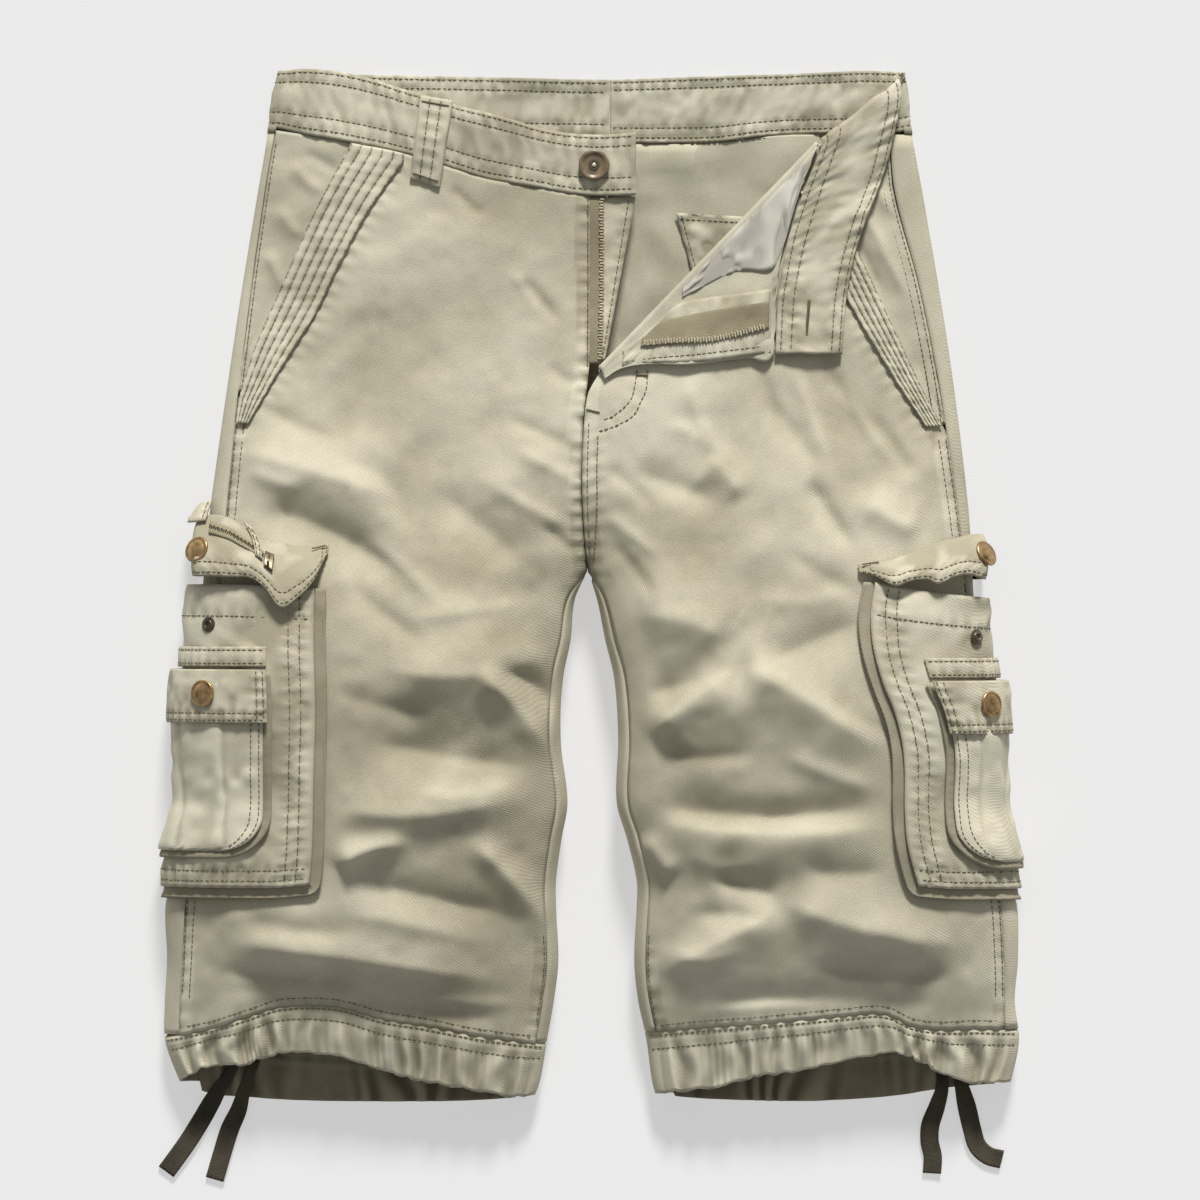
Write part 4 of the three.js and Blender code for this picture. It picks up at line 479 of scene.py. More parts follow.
def places_of(grid):
    steps = np.linalg.norm(np.diff(grid, axis=0), axis=-1).mean(1)
    return np.concatenate([[0], np.cumsum(np.maximum(steps, 1e-4))])


def finer(grid, cell, cell_across=None, ring=False):
    """A grid of about the given cell, with the distances along its rows (u) and down its columns (v)."""
    grid = np.array(grid, float)
    places = places_of(grid)
    v = np.linspace(0, places[-1], max(3, round(places[-1] / cell) + 1))
    grid = sampled(grid, places, v)
    flipped = grid.transpose(1, 0, 2)
    if ring:
        flipped = np.concatenate([flipped[-2:], flipped, flipped[:3]])
    places = places_of(flipped)
    start, end = (places[2], places[-3]) if ring else (0, places[-1])
    count = max(3, round((end - start) / (cell_across or cell)) + 1)
    at = np.linspace(start, end, count)
    if ring:
        at = at[:-1]
    grid = sampled(flipped, places, at).transpose(1, 0, 2)
    return grid, at - start, v


def facing(grid, up, ring=False, looks_up=True):
    """The unit vectors square to a grid, the way that looks up at the cell "up"."""
    if ring:
        across = np.roll(grid, -1, 1) - np.roll(grid, 1, 1)
    else:
        across = np.gradient(grid, axis=1)
    normals = np.cross(across, np.gradient(grid, axis=0))
    normals = normals / np.maximum(np.linalg.norm(normals, axis=-1, keepdims=True), 1e-9)
    i, j = int(up[0] * (grid.shape[0] - 1)), int(up[1] * (grid.shape[1] - 1))
    sign = math.copysign(1, normals[i, j, 2]) * (1 if looks_up else -1)
    return normals * sign, sign


made = {}
patches = {}


def add_mesh(name, points, faces, materials, face_material=None, wear_and_shade=None, sharp=None):
    """A smooth mesh from points in millimetres."""
    mesh = bpy.data.meshes.new(name)
    mesh.from_pydata((np.asarray(points, float) * MM).tolist(), [], [list(map(int, f)) for f in faces])
    for material in materials:
        mesh.materials.append(material)
    mesh.polygons.foreach_set("use_smooth", [True] * len(mesh.polygons))
    if face_material is not None:
        mesh.polygons.foreach_set("material_index", [int(i) for i in face_material])
    attribute = mesh.attributes.new("wear_and_shade", "FLOAT", "POINT")
    attribute.data.foreach_set("value", np.zeros(len(points)) if wear_and_shade is None else np.ravel(wear_and_shade))
    mesh.update()
    if sharp:
        mesh.set_sharp_from_angle(angle=math.radians(sharp))
    obj = bpy.data.objects.new(name, mesh)
    bpy.context.scene.collection.objects.link(obj)
    made[name] = obj
    return obj


def shell(name, outer, thick, materials, up=(0.5, 0.5), ring=False, looks_up=True, relief=None, wear_and_shade=None,
          inner=None):
    """A closed sheet of cloth from the grid of its outer face. The second material is for its other face."""
    normals, sign = facing(outer, up, ring, looks_up)
    if inner is None:
        inner = outer - normals * thick
    if relief is not None:
        outer = outer + normals * np.asarray(relief)[..., None]
    rows, columns = outer.shape[:2]
    count = rows * columns
    last = columns if ring else columns - 1
    i, j = np.meshgrid(np.arange(rows - 1), np.arange(last), indexing="ij")
    i, j = i.ravel(), j.ravel()
    beyond = (j + 1) % columns
    above, below = i * columns, (i + 1) * columns
    face = np.stack([above + j, above + beyond, below + beyond, below + j], 1)
    if sign < 0:
        face = face[:, ::-1]
    other = face[:, ::-1] + count
    rims = []
    j = np.arange(last)
    beyond = (j + 1) % columns
    first, final = 0 * j, 0 * j + (rows - 1) * columns
    rims.append(np.stack([first + beyond, first + j, first + j + count, first + beyond + count], 1))
    rims.append(np.stack([final + j, final + beyond, final + beyond + count, final + j + count], 1))
    if not ring:
        a, b = np.arange(rows - 1) * columns, np.arange(1, rows) * columns
        rims.append(np.stack([a, b, b + count, a + count], 1))
        rims.append(np.stack([b + last, a + last, a + last + count, b + last + count], 1))
    rims = np.concatenate(rims)
    if sign < 0:
        rims = rims[:, ::-1]
    faces = np.concatenate([face, other, rims])
    points = np.concatenate([outer.reshape(-1, 3), inner.reshape(-1, 3)])
    points[:, 2] = np.maximum(points[:, 2], 0)
    index = np.zeros(len(faces))
    if len(materials) > 1:
        index[len(face):2 * len(face)] = 1
    both = None if wear_and_shade is None else np.concatenate([np.ravel(wear_and_shade), np.ravel(wear_and_shade)])
    obj = add_mesh(name, points, faces, materials, index, both)
    patches[name] = (outer, normals)
    return obj


def on_patch(name, row_share, column_share, out=0.0):
    """A place on a made sheet's outer face by its share of the rows and columns."""
    grid, normals = patches[name]
    row_share, column_share = np.broadcast_arrays(np.asarray(row_share, float), np.asarray(column_share, float))
    i = np.clip(row_share, 0, 1) * (grid.shape[0] - 1.001)
    j = np.clip(column_share, 0, 1) * (grid.shape[1] - 1.001)
    i0, j0 = i.astype(int), j.astype(int)
    s, t = (i - i0)[..., None], (j - j0)[..., None]
    pick = lambda a: mix(mix(a[i0, j0], a[i0 + 1, j0], s), mix(a[i0, j0 + 1], a[i0 + 1, j0 + 1], s), t)
    return pick(grid) + pick(normals) * out


# Sewing: short round stitches along a path, joined in groups
STITCH_LENGTH = 2.7
STITCH_PITCH = 3.6
STITCH_RADIUS = 0.4
STITCH_SIDES = 5
# Each ring of a stitch: its place along it and its share of the radius
STITCH_RINGS = ((-0.5, 0.35), (-0.3, 1), (0.3, 1), (0.5, 0.35))
sewn = {}


def resample(path, pitch):
    path = np.asarray(path, float)
    run = np.linalg.norm(np.diff(path, axis=0), axis=1)
    total = np.concatenate([[0], np.cumsum(run)])
    at = np.arange(pitch / 2, total[-1], pitch)
    return np.stack([np.interp(at, total, path[:, k]) for k in range(3)], 1), total[-1]


def sew(group, path, pitch=STITCH_PITCH, length=STITCH_LENGTH, radius=STITCH_RADIUS):
    spots, _ = resample(path, pitch)
    if len(spots) < 2:
        return
    ways = np.gradient(spots, axis=0)
    ways /= np.maximum(np.linalg.norm(ways, axis=1, keepdims=True), 1e-9)
    clear = spots[:, 2] > 2 * radius
    sewn.setdefault(group, []).append((spots[clear], ways[clear], length, radius))


def close_sewing(material):
    ring = np.linspace(0, 2 * math.pi, STITCH_SIDES, endpoint=False)
    last_ring = (len(STITCH_RINGS) - 1) * STITCH_SIDES
    for group, runs in sewn.items():
        points, faces = [], []
        for spots, ways, length, radius in runs:
            beside = np.cross(ways, [0, 0, 1.0])
            flat = np.linalg.norm(beside, axis=1) < 1e-3
            beside[flat] = [1, 0, 0]
            beside /= np.linalg.norm(beside, axis=1, keepdims=True)
            over = np.cross(beside, ways)
            for spot, way, side_way, up_way in zip(spots, ways, beside, over):
                base = len(points)
                for share, wide in STITCH_RINGS:
                    for angle in ring:
                        spoke = side_way * math.cos(angle) + up_way * math.sin(angle)
                        points.append(spot + way * length * share + spoke * radius * wide)
                for start in range(base, base + last_ring, STITCH_SIDES):
                    for k in range(STITCH_SIDES):
                        a, b = start + k, start + (k + 1) % STITCH_SIDES
                        faces.append((a, b, b + STITCH_SIDES, a + STITCH_SIDES))
                faces.append(tuple(base + k for k in reversed(range(STITCH_SIDES))))
                faces.append(tuple(base + last_ring + k for k in range(STITCH_SIDES)))
        obj = add_mesh(group, points, faces, [material])
        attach(obj, "root")


# Finishes, all by procedure in the object's own metres
GRAIN_SCALE = 900
RIB_SCALE = 330
RIB_HEIGHT = 0.0006


def material(name, dark, light, rough=0.9, metal=0.0, weave=0.0, mottle=9.0, fine=0.0, sheen=0.0):
    made_of = bpy.data.materials.new(name)
    made_of.use_nodes = True
    tree = made_of.node_tree
    shader = tree.nodes["Principled BSDF"]
    shader.inputs["Metallic"].default_value = metal
    shader.inputs["Roughness"].default_value = rough
    if sheen:
        shader.inputs["Sheen Weight"].default_value = sheen
    place = tree.nodes.new("ShaderNodeTexCoord")
    large = tree.nodes.new("ShaderNodeTexNoise")
    large.inputs["Scale"].default_value = mottle
    large.inputs["Detail"].default_value = 6
    large.inputs["Roughness"].default_value = 0.62
    tree.links.new(place.outputs["Object"], large.inputs["Vector"])
    # The point attribute read here shifts the colour: paler where the cloth is worn, darker where shade is painted in
    wear_and_shade_node = tree.nodes.new("ShaderNodeAttribute")
    wear_and_shade_node.attribute_name = "wear_and_shade"
    add = tree.nodes.new("ShaderNodeMath")
    add.operation = "ADD"
    tree.links.new(large.outputs["Fac"], add.inputs[0])
    tree.links.new(wear_and_shade_node.outputs["Fac"], add.inputs[1])
    grain = tree.nodes.new("ShaderNodeTexNoise")
    grain.inputs["Scale"].default_value = GRAIN_SCALE
    grain.inputs["Detail"].default_value = 3
    tree.links.new(place.outputs["Object"], grain.inputs["Vector"])
    speck = tree.nodes.new("ShaderNodeMath")
    speck.operation = "MULTIPLY_ADD"
    speck.inputs[1].default_value = fine
    tree.links.new(grain.outputs["Fac"], speck.inputs[0])
    tree.links.new(add.outputs[0], speck.inputs[2])
    ramp = tree.nodes.new("ShaderNodeValToRGB")
    ramp.color_ramp.elements[0].position = 0.28 + fine / 2
    ramp.color_ramp.elements[0].color = (*dark, 1)
    ramp.color_ramp.elements[1].position = 0.72 + fine / 2
    ramp.color_ramp.elements[1].color = (*light, 1)
    tree.links.new(speck.outputs[0], ramp.inputs["Fac"])
    tree.links.new(ramp.outputs["Color"], shader.inputs["Base Color"])
    if weave:
        lines = tree.nodes.new("ShaderNodeTexWave")
        lines.bands_direction = "DIAGONAL"
        lines.inputs["Scale"].default_value = RIB_SCALE
        lines.inputs["Distortion"].default_value = 1.2
        lines.inputs["Detail"].default_value = 1
        tree.links.new(place.outputs["Object"], lines.inputs["Vector"])
        both = tree.nodes.new("ShaderNodeMath")
        both.operation = "MULTIPLY_ADD"
        both.inputs[1].default_value = 0.45
        tree.links.new(lines.outputs["Fac"], both.inputs[0])
        tree.links.new(grain.outputs["Fac"], both.inputs[2])
        bump = tree.nodes.new("ShaderNodeBump")
        bump.inputs["Strength"].default_value = weave
        bump.inputs["Distance"].default_value = RIB_HEIGHT
        tree.links.new(both.outputs[0], bump.inputs["Height"])
        tree.links.new(bump.outputs["Normal"], shader.inputs["Normal"])
    return made_of


def linear(red, green, blue):
    """A screen colour from 0 to 255 as the shader's own."""
    return tuple(((c / 255 + 0.055) / 1.055) ** 2.4 if c > 10 else c / 255 / 12.92 for c in (red, green, blue))


TWILL = material("twill", linear(160, 153, 130), linear(203, 197, 175), 0.92, weave=0.34, fine=0.3)
TWILL_INSIDE = material("twill_inside", linear(160, 154, 131), linear(203, 197, 176), 0.94, weave=0.3, fine=0.3)
# Painted shade: a darker copy of the twill, for cloth that lies in shadow (the gussets and the allowances under the
# waistband)
TWILL_PAINTED_SHADE = material("twill_shaded", linear(122, 115, 94), linear(166, 158, 135), 0.95, weave=0.3, fine=0.2)
# Painted shade: a darker copy of the twill for the casings' inner face, which lies in shadow inside the hem
HEM_INSIDE_SHADED = material("hem_inside_shaded", linear(96, 88, 69), linear(150, 142, 118), 0.95, weave=0.2, fine=0.2)
POCKETING = material("pocketing", linear(168, 163, 151), linear(194, 189, 178), 0.95, weave=0.2, fine=0.15)
TAPE = material("tape", linear(44, 40, 29), linear(84, 77, 59), 0.9, weave=0.9, fine=0.3, mottle=30)
ZIP_TAPE = material("zip_tape", linear(120, 112, 88), linear(154, 146, 120), 0.9, weave=0.5, fine=0.2)
THREAD = material("thread", linear(88, 82, 60), linear(122, 115, 90), 0.8, fine=0.3, mottle=60)
BRASS = material("brass", linear(112, 84, 50), linear(204, 172, 124), 0.34, metal=0.8, fine=0.3, mottle=150)
AGED = material("brass_aged", linear(58, 52, 42), linear(124, 113, 92), 0.38, metal=0.75, fine=0.3, mottle=150)
# The zip teeth's pale metal colour is partly a painted highlight, standing in for glints
TEETH = material("zip_teeth", linear(176, 164, 134), linear(240, 230, 206), 0.3, metal=0.35, fine=0.3,
                 mottle=300)
HORN = material("horn", linear(84, 70, 50), linear(138, 120, 94), 0.36, fine=0.1, mottle=160)
# Painted shadow: a dark colour for the buttonhole's slit and for the hollow of the waist button
SHADOW = material("buttonhole", linear(60, 54, 40), linear(84, 77, 58), 0.9, fine=0.2)


# Camera and the drawstring tails
CAMERA_HEIGHT = 4000.0
PICTURE_WIDTH = 780.0
PICTURE_CENTRE = (4.875, -9.5)
SENSOR_WIDTH = 36
camera_data = bpy.data.cameras.new("camera")
camera_data.sensor_width = SENSOR_WIDTH
camera_data.lens = SENSOR_WIDTH * CAMERA_HEIGHT / PICTURE_WIDTH
camera = bpy.data.objects.new("camera", camera_data)
camera.location = (PICTURE_CENTRE[0] * MM, PICTURE_CENTRE[1] * MM, CAMERA_HEIGHT * MM)
bpy.context.scene.collection.objects.link(camera)
bpy.context.scene.camera = camera

TAILS = {
    "tail_right_outer": ((-231, 641, 3.5, 0.55), (-235, 651, 3.5, 0.6), (-241.5, 661, 3.5, 0.75),
                         (-247, 670, 3, 0.95), (-254.5, 683, 1.2, 1), (-264, 698, 1.1, 1), (-277, 716, 1.1, 1)),
    "tail_right_inner": ((-219, 643, 3.5, 0.55), (-223, 654, 3.5, 0.55), (-226.5, 664, 3.5, 0.7),
                         (-230, 676, 1.8, 0.9), (-235.5, 688, 1.2, 1), (-240, 702, 1.1, 1), (-245.5, 721, 1.1, 1)),
    "tail_left_inner": ((224, 638, 3.5, 0.55), (226, 649, 3.5, 0.55), (227, 661, 3.5, 0.7), (223.5, 674, 1.8, 0.9),
                        (219.5, 685.5, 1.2, 1), (219, 696, 1.1, 1), (221, 706, 1.1, 1), (220.5, 717, 1.1, 1)),
    "tail_left_outer": ((236, 636, 3.5, 0.55), (237.5, 647, 3.5, 0.6), (239.5, 659, 3.5, 0.75), (243, 673, 1.6, 1),
                        (246.5, 688, 1.2, 1), (250, 699, 1.1, 1), (257, 705.5, 1.1, 1), (266, 708, 1.1, 1)),
}
TAPE_WIDTH = 12.0
TAPE_THICK = 1.8
for name, spots in TAILS.items():
    spots = np.array(spots, float)
    centre = np.stack([spots[:, 0], LENGTH / 2 - spots[:, 1], spots[:, 2]], 1)
    share = np.linspace(0, 1, len(spots))
    at = np.linspace(0, 1, 61)
    line = sampled(centre, share, at)
    width = sampled(spots[:, 3:4], share, at)[:, 0] * TAPE_WIDTH
    run = np.gradient(line, axis=0)
    beside = np.stack([run[:, 1], -run[:, 0]], 1)
    beside /= np.linalg.norm(beside, axis=1, keepdims=True)
    across = np.linspace(-0.5, 0.5, 9)
    grid = line[:, None] + np.zeros((1, 9, 1))
    grid[..., :2] += beside[:, None] * (across[None, :, None] * width[:, None, None])
    rib = 0.12 * np.cos(across * 2 * math.pi * 3)
    curl = 0.5 * np.sin(at * 9 + len(name))[:, None] * across[None] * 2
    grid[..., 2] += TAPE_THICK / 2 + rib[None] + np.maximum(curl, 0)
    tail = shell(name + "_tape", grid, TAPE_THICK, [TAPE])
    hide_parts(name)
    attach(tail, "root")


# Fronts
CASING_GAP = 0.45
FRONT_TOP = {RIGHT: lambda x: WAIST_SEAM(x) + SEAM, LEFT: crease_down}


def outer_seam(side, down):
    return np.where(down < SLANT_END[side], SLANT[side](down), SIDE_SEAM[side](down))


def inner_seam(side, down):
    at_middle = MIDDLE[side](down) + side * SEAM
    at_inseam = INNER[side](down) + side * INSEAM_INSET(down)
    return np.where(down < CROTCH, at_middle, at_inseam)


def row_ends(side, share):
    share = np.asarray(share, float)
    ends = []
    for start, seam_at in ((side * 220.0, lambda down: outer_seam(side, down) - side * SEAM),
                           (side * 5.0, lambda down: inner_seam(side, down))):
        x = np.full(share.shape, start)
        for _ in range(24):
            x = seam_at(mix(FRONT_TOP[side](x), CASING_TOP[side](x), share))
        ends.append(x)
    return ends


def front_place(side, share, column):
    outer, inner = row_ends(side, share)
    x = mix(outer, inner, column)
    return x, mix(FRONT_TOP[side](x), CASING_TOP[side](x) - CASING_GAP, share)


def edge_draw(u, v, width, length, reach=2.2, depth=0.5):
    """Cloth rolls down a little at its edges; u and v are distances in a panel of that width and length."""
    near = np.minimum(np.minimum(u, width - u), np.minimum(v, length - v))
    return -depth * bell(np.maximum(near, 0), reach)


def pucker(along, gap, rise=0.35, period=9.0, reach=5.0, seed=7):
    wave = np.sin(along / period * 2 * math.pi + 2.5 * noise(along, 0 * along, 34, seed))
    return rise * wave * bell(gap, reach)


# Painted shade: the cloth is a little darker about the knees, where the legs slope away from the light
KNEE_PAINTED_SHADE = 0.16
KNEE_DOWN = {RIGHT: 452, LEFT: 440}
KNEE_REACH = 95
FRONT_ROWS = {RIGHT: 226, LEFT: 214}
FRONT_COLUMNS = 99
for side, word in SIDES:
    shares, columns = np.linspace(0, 1, FRONT_ROWS[side]), np.linspace(0, 1, FRONT_COLUMNS)
    share, column = np.meshgrid(shares, columns, indexing="ij")
    x, down = front_place(side, share, column)
    z_plain = height(x, down)
    grid = top_spot(x, down, 0.0)
    grid[..., 2] += seam_relief(side, x, down)
    outer_gap = np.abs(x - x[:, :1])
    inner_gap = np.abs(x - x[:, -1:])
    bottom_gap = (down[-1:] - down)
    leg = ease((down - CROTCH) / 20) * ease((575 - down) / 20)
    for gap, deep, seed in ((outer_gap, 0.6, 21), (inner_gap, 0.6, 22), (bottom_gap, 0.25, 23)):
        along = x if seed == 23 else down
        calm = 1 - leg if seed == 22 else 1
        grid[..., 2] += (-deep * bell(gap, 1.8) + pucker(along, gap, 0.45, 9.5, 6.5, seed)) * calm
    lift = grid[..., 2] - z_plain
    at_seam = np.where(np.minimum(outer_gap, inner_gap) < 9, 0.3 * (1 - leg), 0)
    # Wear and painted shade: fold crests and seam ridges a little paler, fold troughs and seam grooves darker, then
    # painted shade about the knees
    wear_and_shade = np.clip(lift * 0.045, -0.2, 0.06) + at_seam * np.clip(lift, -0.8, 0.6)
    wear_and_shade = wear_and_shade - KNEE_PAINTED_SHADE * bell(down - KNEE_DOWN[side], KNEE_REACH)
    piece = shell(f"front_{word}_cloth", grid, CLOTH, [TWILL, TWILL_INSIDE], (0.5, 0.5), wear_and_shade=wear_and_shade)
    if side == RIGHT:
        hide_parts("front_right")

# The corner of the left front turned back over the crease, wrong side up
TURNED_EDGE = ((0, 143.5, 56), (0.045, 137.5, 71), (0.12, 127.5, 101), (0.205, 119.5, 138), (0.28, 116.5, 186),
               (0.385, 100, 188.5), (0.475, 86, 190), (0.565, 72, 192), (0.655, 58, 193), (0.745, 44, 192.5),
               (0.835, 30, 193), (0.92, 17.5, 196), (1, 8, 202))
turned_x = through([(row[0], row[1]) for row in TURNED_EDGE])
turned_down = through([(row[0], row[2]) for row in TURNED_EDGE])
crease_ends = row_ends(LEFT, np.zeros(1))
column = np.linspace(0, 1, 90)
crease_x = mix(crease_ends[0][0], crease_ends[1][0], column)
crease_y = crease_down(crease_x)


def rolled(x, down, angle, base=0.0):
    reach = TURN_GAP / 2 * math.sin(angle)
    spot = top_spot(np.asarray(x, float), np.asarray(down, float), base + TURN_GAP / 2 * (1 - math.cos(angle)))
    spot[..., 0] += CREASE_OUT[0] * reach
    spot[..., 1] -= CREASE_OUT[1] * reach
    return spot


turned = []
for away in np.linspace(1, 0, 44):
    x = mix(crease_x, turned_x(column), away)
    down = mix(crease_y, turned_down(column), away)
    ripple = 0.7 * noise(x, down, 20, 90) + 0.4 * noise(x + down, down, 9, 91)
    turned.append(top_spot(x, down, TURN_GAP + np.maximum(ripple * ease(away * 3), -0.8)))
for angle in np.radians([165, 145, 125, 105, 85, 65, 45, 25, 8]):
    turned.append(rolled(crease_x, crease_y, angle))
turned = np.array(turned)
corner = shell("turned_corner", turned, CLOTH, [TWILL, TWILL_INSIDE], (0.3, 0.5), looks_up=False)
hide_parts("front_left")


# Backs
def onward(path, shares):
    """Places along a path of points by their share of its length, for many rows at once."""
    run = np.linalg.norm(np.diff(path, axis=1), axis=-1)
    total = np.concatenate([np.zeros((len(path), 1)), np.cumsum(run, 1)], 1)
    found = np.empty((len(path), len(shares), path.shape[-1]))
    for k in range(len(path)):
        for axis in range(path.shape[-1]):
            found[k, :, axis] = np.interp(np.array(shares) * total[k, -1], total[k], path[k, :, axis])
    return found


# Creases seen on the inside of the back, as on the fronts
BACK_CREASES = (
    (12, 70, 40, 62, 96, 60, 6, 7, 1.6), (18, 84, 46, 78, 92, 84, 5, 8, 1.3), (30, 98, 48, 112, 60, 134, 5, 6, 1.7),
    (20, 108, 32, 130, 40, 160, 5, 6, 1.5), (16, 130, 24, 152, 28, 178, 4, 6, 1.3), (44, 88, 76, 96, 112, 90, 5, 5, -1.4),
    (98, 66, 116, 74, 132, 70, 5, 6, 1.5), (104, 56, 120, 60, 140, 56, 4, 5, 1.2), (52, 140, 60, 154, 62, 172, 4, 5, 1.2),
)
back_lines = bent_lines(BACK_CREASES)
BACK_CORNER = {RIGHT: 39.2, LEFT: 42.8}
CROTCH_SHARE = {RIGHT: 0.4435, LEFT: 0.3037}
BACK_SAG = 9.0
for side, word in SIDES:
    limit = CROTCH_SHARE[side]
    share = np.concatenate([np.linspace(0, limit, 62 if side == RIGHT else 48), np.linspace(limit, 1, 84)[1:]])
    outer, inner = row_ends(side, share)
    top = FRONT_TOP[side]
    outer_down = mix(top(outer), CASING_TOP[side](outer) - CASING_GAP, share)
    outer_down[0] = BACK_CORNER[side]
    outer_down[-1] -= CASING_GAP
    inner_down = np.where(share < limit, mix(BACK_SEAM(40) + 3 * SEAM, CROTCH, share / limit),
                          mix(top(inner), CASING_TOP[side](inner) - CASING_GAP, share))
    seam_along = along_at(side, outer_down, SIDE_SEAM[side](outer_down), 0.0)
    round_end = np.interp(outer_down, DOWNS, -side_maps[side][4])
    parts = np.linspace(0, 1, 12)
    outer_part = around(side, outer_down[:, None], mix(seam_along[:, None], round_end[:, None], parts[None]))
    inner_part = []
    for k, place in enumerate(share):
        down = inner_down[k]
        edge, inside = float(edge_height(down)), float(INNER[side](down))
        if place < limit - 0.05:
            end = float(CENTRE_BACK(down)) + side * SEAM / 2
            path = [(end + side * 55, 0), (end, 0)]
        elif place < limit - 0.006:
            end = float(CENTRE_BACK(down)) + side * SEAM / 2
            path = [(end + side * 45, 0), (end + side * 16, 0), (end + side * 6, 1.5), (end, 5)]
        else:
            start = float(inner_seam(side, down)) if place < limit + 0.006 else inside
            path = [(start + side * edge * EDGE_REACH * (1 - math.cos(a)), edge * (1 - math.sin(a)))
                    for a in np.linspace(math.pi / 2, 0, 11)]
            if place > limit + 0.006:
                seam = float(inner_seam(side, down)) - side * SEAM
                for climb in (0.15, 0.4, 0.7, 1):
                    x = mix(inside, seam, climb)
                    path.append((x, float(height(x, down))))
        path = np.array([[x, LENGTH / 2 - down, z] for x, z in path])
        inner_part.append(onward(path[None], parts)[0])
    inner_part = np.array(inner_part)
    flat_share = np.linspace(0, 1, 34)[1:-1]
    flat_x = mix(outer_part[:, -1:, 0], inner_part[:, :1, 0], flat_share[None])
    sag = BACK_SAG * np.sin(math.pi * flat_share)[None] * ease(share * 3 - 2)[:, None]
    flat_down = mix(outer_down[:, None], inner_down[:, None], flat_share[None]) + sag
    settle = ease(1 - share[:, None] / 0.03)
    flat_down = mix(flat_down, BACK_SEAM(flat_x) + 3 * SEAM, settle)
    flat = np.stack([flat_x, LENGTH / 2 - flat_down, floor_height(side, flat_x, flat_down)], -1)
    grid = np.concatenate([outer_part, flat, inner_part], 1)
    normals, _ = facing(grid, (0.1, 0.0))
    ripple = 0.9 * noise(grid[..., 0], grid[..., 1], 34, 60) + 0.5 * noise(grid[..., 0], grid[..., 1], 12, 61)
    ripple = ripple + bent_rise(back_lines, grid[..., 0], LENGTH / 2 - grid[..., 1], ridge)
    inner_face = grid - normals * (CLOTH + np.clip(ripple, -0.5, 4))[..., None]
    piece = shell(f"back_{word}_cloth", grid, CLOTH, [TWILL, TWILL_INSIDE], (0.1, 0.0), inner=inner_face)
    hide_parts(f"back_{word}")


# Gathered casings
GATHERS = 17
HEM_LEVEL = 645.0
CASING_THICK = 2.0
LIP_SINK = 1.7
LIP_REACH = 1.4


def hem_spot(side, share, across, rise):
    """A place on the front of the casing, by its share down it and across the leg from the inside."""
    x = mix(INNER[side](HEM_LEVEL), OUTER[side](HEM_LEVEL), across)
    for _ in range(8):
        down = mix(CASING_TOP[side](x), HEM_FRONT[side](x), share)
        x = mix(INNER[side](down), OUTER[side](down), across)
    return top_spot(x, down, rise)


def gather(side, share, across):
    """The little waves of the gathered cloth."""
    turn = across * GATHERS + 0.35 * np.sin(6 * math.pi * across) + 0.22 * noise(share * 14, across * 90, 9, 70)
    turn = turn + 0.25 * (share - 0.5) * np.sin(across * 40 + side)
    swell = np.interp(share, [0, 0.1, 0.27, 0.5, 0.75, 1], [0.0, 0.12, 0.6, 1.2, 1.35, 1.2])
    small = 0.4 * np.sin(2 * math.pi * across * GATHERS * 2.3 + 4 * noise(across * 60, share * 2, 5, 71))
    calm = ease(np.minimum(across, 1 - across) * 12)
    deep = 1.4 + 0.9 * noise(across * 100, share * 6, 14, 72)
    crimp = 0.5 * noise(across * 250, share * 9, 5, 73) * share
    return (deep * np.sin(2 * math.pi * turn) * swell + small * np.minimum(swell, 1) + crimp) * calm


def back_gather(side, share, across):
    """The gathers on the inside of the casing's back half."""
    turn = across * 15 + 0.4 * np.sin(5 * math.pi * across + side) + 0.2 * noise(share * 10, across * 80, 9, 75)
    deep = 1.1 + 0.8 * noise(across * 90, share * 5, 13, 76)
    calm = ease(np.minimum(across, 1 - across) * 12)
    rows = 0.8 * bell((share - 0.27) * 26, 1.2) + 0.8 * bell((share - 0.05) * 26, 1.2)
    return (deep * np.sin(2 * math.pi * turn) * (1 - 0.4 * rows) + rows) * calm


